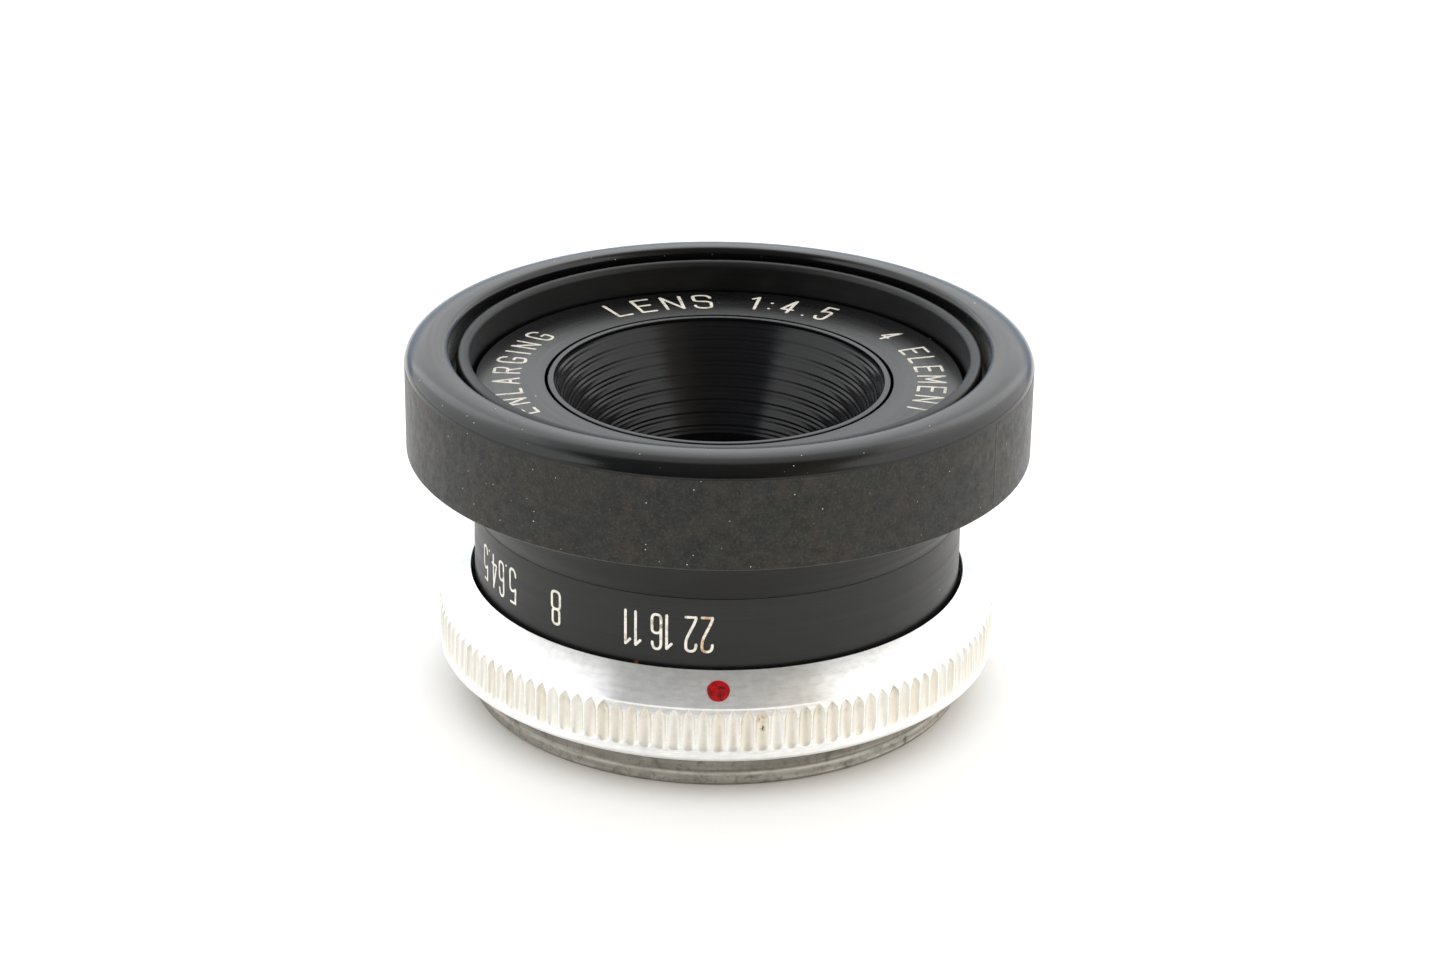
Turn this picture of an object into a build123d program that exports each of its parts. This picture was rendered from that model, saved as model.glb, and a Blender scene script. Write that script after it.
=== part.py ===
"""Enlarger lens, 75 mm f/4.5: screw mount, turning aperture ring and an eight-blade iris.

Frame: millimetres, +Z along the optical axis towards the front (name) side, origin in the middle
of the rear face of the mounting thread.  The index dot faces -Y.
"""
from build123d import *
from math import asin, cos, degrees, radians, sin, sqrt
import os

os.makedirs("parts", exist_ok=True)

# ---- mounting thread and silver flange -------------------------------------------------------
THREAD_R = 19.5            # M39 x 1, major radius
THREAD_BORE_R = 15.05
THREAD_CHAMFER = 0.25
SEAT_Z = 3.0               # flange seat: the face that meets the lens board
SEAT_R = 21.2
FLANGE_R = 21.8
FLUTE_COUNT = 126
FLUTE_CUTTER_R = 0.5
FLUTE_DEPTH = 0.24
FLUTE_Z = (4.05, 7.4)
CONE_FOOT_Z = 7.6          # the fluted edge ends and the brushed cone begins
CONE_TOP_R = 19.34
CONE_TOP_Z = 9.63
DOT_R = 0.85
DOT_DEPTH = 0.35
DOT_Z = 8.55

# ---- fixed inner barrel ----------------------------------------------------------------------
BARREL_R = 17.74
BARREL_NECK_R = 16.4
BARREL_SPIGOT_R = 15.0
BARREL_REAR_Z = 0.3
SHOULDER_Z = 4.8
BARREL_TOP_Z = 23.4
CHAMBER_R = 16.9
CHAMBER_FLOOR_Z = 5.9
REAR_BORE_R = 11.7

# ---- turning sleeve, carrier and grip --------------------------------------------------------
APERTURE_TRAVEL = 66.0     # degrees from the closed stop to full aperture
SLEEVE_R = 19.0
SLEEVE_BORE_R = 17.80
SLEEVE_FOOT_Z = 5.1
SEAM_Z = 15.2
NECK_R = 18.6
NECK_TOP_Z = 22.4
FLARE_R = 20.7
FLARE_TOP_Z = 19.6
GRIP_R = 24.13
GRIP_BORE_R = 20.75
GRIP_Z = (19.85, 28.1)
GRIP_TOP_FILLET = 1.2
LIP_R = 20.17
LIP_BORE_R = 19.1          # front recess, takes a push-in filter
UNDERCUT_R = 19.45         # clears the rim of the name ring, below the recess
LIP_FOOT_Z = 25.6
LIP_TOP_Z = 27.5

# ---- name ring and front hood ----------------------------------------------------------------
NAME_Z = 25.1
NAME_R = 18.82
NAME_BORE_R = 13.42
NAME_FOOT_Z = 23.5
HOOD_RIM_R = 13.2
HOOD_MOUTH_R = 12.74
HOOD_THROAT_R = 8.2
HOOD_THROAT_Z = 17.0
HOOD_FOOT_Z = 15.35
HOOD_RIDGES = 13

# ---- glass -----------------------------------------------------------------------------------
FRONT_GLASS_R = 9.2
REAR_GLASS_R = 9.3

# ---- iris ------------------------------------------------------------------------------------
BLADE_COUNT = 8
PIVOT_RING_R = 15.2
PIVOT_PHASE = 11.5         # degrees from +X to the first pivot
BLADE_INNER_R = 8.45
BLADE_OUTER_R = 12.7
BLADE_SPAN = 150.0
BLADE_T = 0.10
BLADE_PITCH_Z = 0.15       # each blade lies on its own level
FIRST_BLADE_Z = 7.10
CLOSED_STOP_R = 1.62
PIN_R = 0.35
PIN_HOLE_R = 0.41
EAR_R = 0.85
DRIVE_ARM = 4.4            # pivot to drive pin
DRIVE_ARM_ANGLE = -115.0   # direction of the drive pin from the pivot, iris fully open
DRIVE_RING_Z = (6.25, 6.95)
DRIVE_RING_R = (12.9, 16.8)
DRIVE_SLOT_W = 0.84
PIVOT_PLATE_Z = (8.40, 9.00)
DRIVE_PIN_AT = Vector(DRIVE_ARM, 0).rotate(Axis.Z, DRIVE_ARM_ANGLE)   # from the pivot, iris open
BLADE_SWING = 2 * degrees(asin((BLADE_INNER_R - CLOSED_STOP_R) / (2 * PIVOT_RING_R)))

# ---- small hardware --------------------------------------------------------------------------
DRIVE_SCREW_ANGLE = 90.0   # at the back, hidden inside the silver flange
DRIVE_SCREW_Z = sum(DRIVE_RING_Z) / 2
DRIVE_SCREW_R = 0.60
DRIVE_SCREW_TIP_R = 15.95
DRIVE_HEAD_R = 1.0
DRIVE_WINDOW_H = 1.5       # height of the arc slot that the screw travels in
GRUB_R = 0.8
GRUB_Z = 21.2
GRUB_ANGLES = (30, 150, 270)
SLIDE_GAP = 0.02           # between fixed pieces that are screwed or cemented together


def section(*points):
    """Closed straight-sided section in the XZ plane, given as (radius, height) points."""
    with BuildSketch(Plane.XZ) as outline:
        with BuildLine():
            Polyline(*points, close=True)
        make_face()
    return outline.sketch


def sag(curvature_r, r):
    """Rise of a spherical surface at radius r; positive where the edge stands above the vertex."""
    rise = abs(curvature_r) - sqrt(curvature_r ** 2 - r ** 2)
    return rise if curvature_r > 0 else -rise


def glass_section(rear_z, rear_curve, front_z, front_curve, polished_r, rim_r):
    """Half section of a lens element with a narrow flat rim around both polished faces."""
    half = polished_r / 2
    rear_edge = rear_z + sag(rear_curve, polished_r)
    front_edge = front_z + sag(front_curve, polished_r)
    with BuildSketch(Plane.XZ) as outline:
        with BuildLine():
            rear = ThreePointArc((0, rear_z), (half, rear_z + sag(rear_curve, half)),
                                 (polished_r, rear_edge))
            Polyline(rear @ 1, (rim_r, rear_edge), (rim_r, front_edge), (polished_r, front_edge))
            ThreePointArc((polished_r, front_edge), (half, front_z + sag(front_curve, half)),
                          (0, front_z))
            Line((0, front_z), (0, rear_z))
        make_face()
    return outline.sketch


def radial_plane(angle, r, z):
    """Plane facing outwards on a cylinder of radius r, at an angle from +X."""
    out = (cos(radians(angle)), sin(radians(angle)), 0)
    return Plane(origin=(r * out[0], r * out[1], z), x_dir=(-out[1], out[0], 0), z_dir=out)


def spanner_slots(z, r_mid, length, width, depth):
    """Two opposite slots for a pin spanner, sunk upwards from height z."""
    with BuildSketch(Plane.XY.offset(z)) as slots:
        with PolarLocations(r_mid, 2):
            Rectangle(length, width)
    return extrude(slots.sketch, amount=depth, mode=Mode.PRIVATE)


def finish(builder, label):
    """Name a finished piece and write it to its own file."""
    builder.part.label = label
    export_step(builder.part, f"parts/{label}.step")


# ==== fixed parts, rear ========================================================================

with BuildPart() as mount_thread_ring:
    revolve(section((THREAD_BORE_R, 0), (THREAD_R - THREAD_CHAMFER, 0), (THREAD_R, THREAD_CHAMFER),
                    (THREAD_R, SEAT_Z), (THREAD_BORE_R, SEAT_Z)), axis=Axis.Z)
    add(spanner_slots(0, 17.0, 1.6, 1.8, 0.9), mode=Mode.SUBTRACT)
finish(mount_thread_ring, "mount_thread_ring")

# the silver ring is a bowl: its floor is clamped between the thread ring and the barrel shoulder
CONE_DROP = (FLANGE_R - CONE_TOP_R, CONE_TOP_Z - CONE_FOOT_Z)
CONE_SLANT = sqrt(CONE_DROP[0] ** 2 + CONE_DROP[1] ** 2)
DOT_RADIUS = FLANGE_R - (DOT_Z - CONE_FOOT_Z) * CONE_DROP[0] / CONE_DROP[1]
DOT_PLANE = Plane(origin=(0, -DOT_RADIUS, DOT_Z), x_dir=(1, 0, 0),
                  z_dir=(0, -CONE_DROP[1] / CONE_SLANT, CONE_DROP[0] / CONE_SLANT))

with BuildPart() as knurled_flange:
    revolve(section((BARREL_NECK_R + SLIDE_GAP, SEAT_Z), (SEAT_R, SEAT_Z),
                    (FLANGE_R, SEAT_Z + FLANGE_R - SEAT_R), (FLANGE_R, CONE_FOOT_Z),
                    (CONE_TOP_R, CONE_TOP_Z), (CONE_TOP_R, SHOULDER_Z),
                    (BARREL_NECK_R + SLIDE_GAP, SHOULDER_Z)), axis=Axis.Z)
    with BuildSketch(Plane.XY.offset(FLUTE_Z[0])):
        with PolarLocations(FLANGE_R + FLUTE_CUTTER_R - FLUTE_DEPTH, FLUTE_COUNT):
            Circle(FLUTE_CUTTER_R)
    extrude(amount=FLUTE_Z[1] - FLUTE_Z[0], mode=Mode.SUBTRACT)
    with BuildSketch(DOT_PLANE):
        Circle(DOT_R)
    extrude(amount=-DOT_DEPTH, mode=Mode.SUBTRACT)
    with BuildSketch(DOT_PLANE):
        Circle(DOT_R)
    extrude(amount=DOT_DEPTH, mode=Mode.SUBTRACT)
finish(knurled_flange, "knurled_flange")

with BuildPart() as index_dot:
    with BuildSketch(DOT_PLANE.offset(-DOT_DEPTH)):
        Circle(DOT_R - SLIDE_GAP / 2)
    extrude(amount=DOT_DEPTH - SLIDE_GAP)
    fillet(index_dot.edges().sort_by(Axis.Z)[-1], 0.08)
finish(index_dot, "index_dot")

with BuildPart() as lens_barrel:
    revolve(section((REAR_BORE_R, 1.3), (12.7, 1.3), (12.7, BARREL_REAR_Z),
                    (BARREL_SPIGOT_R, BARREL_REAR_Z), (BARREL_SPIGOT_R, SEAT_Z),
                    (BARREL_NECK_R, SEAT_Z), (BARREL_NECK_R, SHOULDER_Z), (BARREL_R, SHOULDER_Z),
                    (BARREL_R, BARREL_TOP_Z), (CHAMBER_R, BARREL_TOP_Z),
                    (CHAMBER_R, CHAMBER_FLOOR_Z), (10.25, CHAMBER_FLOOR_Z), (10.25, 5.0),
                    (REAR_BORE_R, 5.0)), axis=Axis.Z)
    # arc slot that lets the drive screw through the wall over the whole travel
    with BuildSketch(Plane.XY.offset(DRIVE_SCREW_Z - DRIVE_WINDOW_H / 2)):
        SlotArc(CenterArc((0, 0), (CHAMBER_R + BARREL_R) / 2, DRIVE_SCREW_ANGLE - 1,
                          APERTURE_TRAVEL + 2), 2.2)
    extrude(amount=DRIVE_WINDOW_H, mode=Mode.SUBTRACT)
finish(lens_barrel, "lens_barrel")

with BuildPart() as friction_washer:
    with BuildSketch(Plane.XY.offset(SHOULDER_Z + SLIDE_GAP)):
        Circle(SLEEVE_R + 0.1)
        Circle(BARREL_R + 0.2, mode=Mode.SUBTRACT)
    extrude(amount=0.2)
finish(friction_washer, "friction_washer")

# ==== rear glass group =========================================================================

with BuildPart() as rear_cell:
    revolve(section((REAR_GLASS_R + 0.05, 0.5), (12.6, 0.5), (12.6, 1.28), (REAR_BORE_R - SLIDE_GAP, 1.28),
                    (REAR_BORE_R - SLIDE_GAP, 4.95), (10.2, 4.95), (10.2, 6.6), (8.6, 6.6),
                    (8.6, 6.16), (REAR_GLASS_R + 0.05, 6.16)), axis=Axis.Z)
    add(spanner_slots(0.5, 11.2, 1.4, 1.4, 0.6), mode=Mode.SUBTRACT)
finish(rear_cell, "rear_cell")

with BuildPart() as rear_outer_element:
    revolve(glass_section(0.7, 26, 4.6, -22, 8.6, REAR_GLASS_R), axis=Axis.Z)
finish(rear_outer_element, "rear_outer_element")

with BuildPart() as rear_inner_element:
    revolve(glass_section(4.6 + SLIDE_GAP, -22, 5.5, 60, 8.6, REAR_GLASS_R), axis=Axis.Z)
finish(rear_inner_element, "rear_inner_element")

with BuildPart() as rear_retaining_ring:
    revolve(section((8.5, 1.2), (REAR_GLASS_R, 1.2), (REAR_GLASS_R, 2.12), (8.75, 2.12)), axis=Axis.Z)
    add(spanner_slots(1.2, 8.9, 1.4, 1.2, 0.4), mode=Mode.SUBTRACT)
finish(rear_retaining_ring, "rear_retaining_ring")

# ==== iris =====================================================================================


def drive_pin(turn):
    """Where the first blade's drive pin stands in the drive ring once the ring has turned."""
    swing = BLADE_SWING * (1 - turn / APERTURE_TRAVEL)
    arm = Vector(DRIVE_ARM, 0).rotate(Axis.Z, DRIVE_ARM_ANGLE + swing)
    return (Vector(PIVOT_RING_R, 0) + arm).rotate(Axis.Z, PIVOT_PHASE - turn)


with BuildPart() as iris_drive_ring:
    with BuildSketch(Plane.XY.offset(DRIVE_RING_Z[0])):
        Circle(DRIVE_RING_R[1])
        Circle(DRIVE_RING_R[0], mode=Mode.SUBTRACT)
        for place in PolarLocations(0, BLADE_COUNT):
            slot_path = ThreePointArc(drive_pin(0), drive_pin(APERTURE_TRAVEL / 2),
                                      drive_pin(APERTURE_TRAVEL), mode=Mode.PRIVATE)
            with Locations(place):
                SlotArc(slot_path, DRIVE_SLOT_W, mode=Mode.SUBTRACT)
        with Locations((0, DRIVE_RING_R[1])):
            Rectangle(2 * DRIVE_SCREW_R + 0.04, 2.1, mode=Mode.SUBTRACT)
    extrude(amount=DRIVE_RING_Z[1] - DRIVE_RING_Z[0])
finish(iris_drive_ring, "iris_drive_ring")

with BuildPart() as iris_pivot_plate:
    with BuildSketch(Plane.XY.offset(PIVOT_PLATE_Z[0])):
        Circle(CHAMBER_R - SLIDE_GAP)
        Circle(BLADE_INNER_R, mode=Mode.SUBTRACT)
        with PolarLocations(PIVOT_RING_R, BLADE_COUNT, start_angle=PIVOT_PHASE):
            Circle(PIN_HOLE_R, mode=Mode.SUBTRACT)
    extrude(amount=PIVOT_PLATE_Z[1] - PIVOT_PLATE_Z[0])
finish(iris_pivot_plate, "iris_pivot_plate")

with BuildPart() as iris_retaining_ring:
    revolve(section((15.7, 9.02), (CHAMBER_R - SLIDE_GAP, 9.02), (CHAMBER_R - SLIDE_GAP, 9.9),
                    (15.7, 9.9)), axis=Axis.Z)
    with BuildSketch(Plane.XY.offset(9.45)):
        with PolarLocations(16.3, 2):
            Rectangle(1.6, 1.2)
    extrude(amount=0.5, mode=Mode.SUBTRACT)
finish(iris_retaining_ring, "iris_retaining_ring")


def blade_outline():
    """Open blade seen from the front, its pivot at (0, 0): a round-ended crescent with an ear."""
    mid_r = (BLADE_INNER_R + BLADE_OUTER_R) / 2
    width = BLADE_OUTER_R - BLADE_INNER_R
    end_angle = degrees(width / 2 / mid_r)
    crescent = CenterArc((-PIVOT_RING_R, 0), mid_r, end_angle / 2, BLADE_SPAN - 1.5 * end_angle,
                         mode=Mode.PRIVATE)
    with BuildSketch() as ear:
        with Locations((0, 0), DRIVE_PIN_AT, crescent @ 0):
            Circle(EAR_R)
        make_hull(ear.sketch.edges())
    with BuildSketch() as outline:
        SlotArc(crescent, width)
        add(ear.sketch)
    return outline.sketch


BLADE_OUTLINE = blade_outline()


def iris_blade(index):
    """One closed blade on its own level, with a pivot pin upwards and a drive pin downwards."""
    phase = PIVOT_PHASE + index * 360 / BLADE_COUNT
    level = FIRST_BLADE_Z + index * BLADE_PITCH_Z
    closed = Plane(origin=Vector(PIVOT_RING_R, 0, level).rotate(Axis.Z, phase),
                   x_dir=Vector(1, 0, 0).rotate(Axis.Z, phase + BLADE_SWING), z_dir=(0, 0, 1))
    with BuildPart() as blade:
        with BuildSketch(closed):
            add(BLADE_OUTLINE)
        extrude(amount=BLADE_T)
        with BuildSketch(closed):
            Circle(PIN_R)
        extrude(amount=PIVOT_PLATE_Z[1] - 0.05 - level)
        with BuildSketch(closed):
            with Locations(DRIVE_PIN_AT):
                Circle(PIN_R)
        extrude(amount=DRIVE_RING_Z[0] + 0.05 - level)
    return blade


for number in range(BLADE_COUNT):
    finish(iris_blade(number), f"iris_blade_{number + 1}")

# ==== front glass group, hood and name ring ====================================================

with BuildPart() as front_cell:
    revolve(section((8.4, 9.2), (10.4, 9.2), (10.4, 15.6), (14.4, 20.0), (CHAMBER_R - SLIDE_GAP, 20.0),
                    (CHAMBER_R - SLIDE_GAP, 22.0), (13.7, 22.0), (13.7, 20.8), (9.7, 16.4),
                    (FRONT_GLASS_R + 0.05, 15.6), (FRONT_GLASS_R + 0.05, 9.74), (8.4, 9.74)), axis=Axis.Z)
finish(front_cell, "front_cell")

with BuildPart() as second_element:
    revolve(glass_section(11.1, -28, 12.1, 45, 8.5, FRONT_GLASS_R), axis=Axis.Z)
finish(second_element, "second_element")

with BuildPart() as element_spacer:
    spacer_z = (12.1 + sag(45, 8.5) + SLIDE_GAP, 13.7 + sag(200, 8.5) - SLIDE_GAP)
    with BuildSketch(Plane.XY.offset(spacer_z[0])):
        Circle(FRONT_GLASS_R)
        Circle(8.55, mode=Mode.SUBTRACT)
    extrude(amount=spacer_z[1] - spacer_z[0])
finish(element_spacer, "element_spacer")

with BuildPart() as front_element:
    revolve(glass_section(13.7, 200, 16.9, -24, 8.5, FRONT_GLASS_R), axis=Axis.Z)
finish(front_element, "front_element")


def ridged_wall(foot, mouth, count, depth):
    """Points of a saw-tooth wall from (r, z) at the foot to (r, z) at the mouth, to stop glare."""
    points = [foot]
    step = ((mouth[0] - foot[0]) / count, (mouth[1] - foot[1]) / count)
    for tooth in range(count):
        r, z = foot[0] + tooth * step[0], foot[1] + tooth * step[1]
        points += [(r + step[0] + depth, z + step[1] * 0.35), (r + step[0], z + step[1])]
    return points


with BuildPart() as front_hood:
    revolve(section(*ridged_wall((HOOD_THROAT_R, HOOD_THROAT_Z), (HOOD_MOUTH_R, NAME_Z - 0.3),
                                 HOOD_RIDGES, 0.12),
                    (HOOD_MOUTH_R, NAME_Z), (HOOD_RIM_R, NAME_Z), (HOOD_RIM_R, 20.7), (9.2, 16.3),
                    (9.1, HOOD_FOOT_Z), (HOOD_THROAT_R + 0.3, HOOD_FOOT_Z), (HOOD_THROAT_R, 15.9)),
            axis=Axis.Z)
finish(front_hood, "front_hood")

with BuildPart() as name_ring:
    revolve(section((NAME_BORE_R, NAME_FOOT_Z), (NAME_BORE_R, NAME_Z), (NAME_R - 0.15, NAME_Z),
                    (NAME_R, NAME_Z - 0.15), (NAME_R, NAME_FOOT_Z), (CHAMBER_R - SLIDE_GAP, NAME_FOOT_Z),
                    (CHAMBER_R - SLIDE_GAP, 22.1), (15.2, 22.1), (15.2, NAME_FOOT_Z)), axis=Axis.Z)
finish(name_ring, "name_ring")

# ==== turning parts ============================================================================

with BuildPart() as scale_sleeve:
    revolve(section((SLEEVE_BORE_R, SLEEVE_FOOT_Z), (SLEEVE_R, SLEEVE_FOOT_Z), (SLEEVE_R, SEAM_Z),
                    (NECK_R, SEAM_Z), (NECK_R, NECK_TOP_Z), (SLEEVE_BORE_R, NECK_TOP_Z)), axis=Axis.Z)
    with BuildSketch(radial_plane(DRIVE_SCREW_ANGLE, SLEEVE_R + 0.1, DRIVE_SCREW_Z)):
        Circle(DRIVE_HEAD_R + 0.05)
    extrude(amount=-0.65, mode=Mode.SUBTRACT)
    with BuildSketch(radial_plane(DRIVE_SCREW_ANGLE, SLEEVE_R + 0.1, DRIVE_SCREW_Z)):
        Circle(DRIVE_SCREW_R + SLIDE_GAP)
    extrude(amount=-2.0, mode=Mode.SUBTRACT)
finish(scale_sleeve, "scale_sleeve")

with BuildPart() as grip_carrier:
    revolve(section((NECK_R + SLIDE_GAP, SEAM_Z + SLIDE_GAP), (SLEEVE_R, SEAM_Z + SLIDE_GAP),
                    (FLARE_R, FLARE_TOP_Z), (FLARE_R, LIP_FOOT_Z), (LIP_R, LIP_FOOT_Z),
                    (LIP_R, LIP_TOP_Z - 0.2), (LIP_R - 0.2, LIP_TOP_Z), (LIP_BORE_R + 0.1, LIP_TOP_Z),
                    (LIP_BORE_R, LIP_TOP_Z - 0.1), (LIP_BORE_R, NAME_Z), (UNDERCUT_R, NAME_Z),
                    (UNDERCUT_R, NAME_FOOT_Z - 0.2), (BARREL_R + 0.3, NAME_FOOT_Z - 0.2),
                    (BARREL_R + 0.3, NECK_TOP_Z + 0.1), (NECK_R + SLIDE_GAP, NECK_TOP_Z + 0.1)),
            axis=Axis.Z)
    for angle in GRUB_ANGLES:
        with BuildSketch(radial_plane(angle, FLARE_R + 0.1, GRUB_Z)):
            Circle(GRUB_R + SLIDE_GAP)
        extrude(amount=-(FLARE_R + 0.1 - NECK_R), mode=Mode.SUBTRACT)
finish(grip_carrier, "grip_carrier")

with BuildPart() as carrier_grub_screws:
    for angle in GRUB_ANGLES:
        with BuildSketch(radial_plane(angle, NECK_R + SLIDE_GAP, GRUB_Z)):
            Circle(GRUB_R)
        extrude(amount=1.8)
        with BuildSketch(radial_plane(angle, NECK_R + SLIDE_GAP + 1.8, GRUB_Z)):
            Rectangle(2 * GRUB_R + 0.2, 0.3)
        extrude(amount=-0.5, mode=Mode.SUBTRACT)
finish(carrier_grub_screws, "carrier_grub_screws")

with BuildPart() as drive_screw:
    with BuildSketch(radial_plane(DRIVE_SCREW_ANGLE, SLEEVE_R - 0.1, DRIVE_SCREW_Z)):
        Circle(DRIVE_HEAD_R)
    extrude(amount=-0.4)
    with BuildSketch(radial_plane(DRIVE_SCREW_ANGLE, SLEEVE_R - 0.5, DRIVE_SCREW_Z)):
        Circle(DRIVE_SCREW_R)
    extrude(amount=-(SLEEVE_R - 0.5 - DRIVE_SCREW_TIP_R))
    with BuildSketch(radial_plane(DRIVE_SCREW_ANGLE, SLEEVE_R - 0.1, DRIVE_SCREW_Z)):
        Rectangle(2 * DRIVE_HEAD_R + 0.2, 0.3)
    extrude(amount=-0.2, mode=Mode.SUBTRACT)
finish(drive_screw, "drive_screw")

with BuildPart() as grip_ring:
    with BuildSketch(Plane.XY.offset(GRIP_Z[0])):
        Circle(GRIP_R)
        Circle(GRIP_BORE_R, mode=Mode.SUBTRACT)
    extrude(amount=GRIP_Z[1] - GRIP_Z[0])
    top_rims = grip_ring.faces().sort_by(Axis.Z)[-1].edges().sort_by(SortBy.RADIUS)
    fillet(top_rims[-1], GRIP_TOP_FILLET)
    inner_rims = grip_ring.edges().filter_by(GeomType.CIRCLE).group_by(Axis.Z)[-1].sort_by(SortBy.RADIUS)
    fillet(inner_rims[0], 0.5)
    chamfer(grip_ring.faces().sort_by(Axis.Z)[0].edges(), 0.2)
finish(grip_ring, "grip_ring")
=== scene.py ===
"""Looks of an enlarging lens: a silver screw mount, a black number sleeve and a moulded grip.

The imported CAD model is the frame.  Every piece is modelled here in millimetres about the optical
axis, +Z towards the front of the lens and the index dot on the -Y side, and is written in metres.
"""
import logging
import math
from dataclasses import dataclass, field
from enum import Enum
from typing import Callable, Union

import bmesh
import bpy
from mathutils import Matrix, Vector


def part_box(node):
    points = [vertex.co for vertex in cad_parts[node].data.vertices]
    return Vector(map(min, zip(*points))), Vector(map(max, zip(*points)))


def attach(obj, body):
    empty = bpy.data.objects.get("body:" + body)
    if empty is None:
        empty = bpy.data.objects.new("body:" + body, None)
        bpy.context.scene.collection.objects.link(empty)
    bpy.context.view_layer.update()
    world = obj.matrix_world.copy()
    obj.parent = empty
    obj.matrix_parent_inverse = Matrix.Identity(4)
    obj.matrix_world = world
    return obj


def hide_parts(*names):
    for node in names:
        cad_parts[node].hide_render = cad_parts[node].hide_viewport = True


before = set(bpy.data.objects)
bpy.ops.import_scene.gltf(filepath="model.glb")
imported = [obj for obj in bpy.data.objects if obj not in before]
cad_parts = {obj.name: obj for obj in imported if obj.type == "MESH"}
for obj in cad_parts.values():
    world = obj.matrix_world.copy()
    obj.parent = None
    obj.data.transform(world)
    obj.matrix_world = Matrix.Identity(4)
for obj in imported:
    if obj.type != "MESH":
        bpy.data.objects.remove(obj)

log = logging.getLogger("enlarging_lens")
MM = 0.001                       # metres in a millimetre
MERGE = 1e-4                     # vertices closer than this are one, in millimetres
AXIS_CLEARANCE = 0.01            # smallest radius that tool marks are worked out for, in millimetres
PATCH_CORE = 0.3                 # share of a stained patch's reach that is fully covered
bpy.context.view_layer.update()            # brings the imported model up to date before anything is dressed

Socket = bpy.types.NodeSocket
Value = Union[float, tuple, Socket]
BLACK = (0.0, 0.0, 0.0, 1.0)
NOWHERE = 400.0                  # a bearing that no point of the lens has, in degrees


class Body(Enum):
    """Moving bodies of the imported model."""

    FIXED = "root"
    APERTURE = "aperture_ring"


class Slot(Enum):
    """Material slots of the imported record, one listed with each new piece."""

    THREAD = "raw_thread_metal"
    ALUMINIUM = "bright_aluminium"
    RED = "red_enamel"
    SATIN = "satin_black"
    NAME_RING = "name_ring_black"
    HOOD = "gloss_black"
    GRIP = "grip_moulding"
    GLASS = "coated_glass"
    FILL = "white_fill"


def tone(red: float, green: float, blue: float) -> tuple[float, float, float, float]:
    """A colour given on a 0 to 255 display scale, as the linear values that shaders use.

    Args:
        red: Red on the display scale.
        green: Green on the display scale.
        blue: Blue on the display scale.

    Returns:
        The linear colour with full opacity.
    """
    linear = [((c / 255 + 0.055) / 1.055) ** 2.4 if c > 10 else c / 255 / 12.92
              for c in (red, green, blue)]
    return (*linear, 1.0)


# ---- finishes --------------------------------------------------------------------------------

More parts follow.
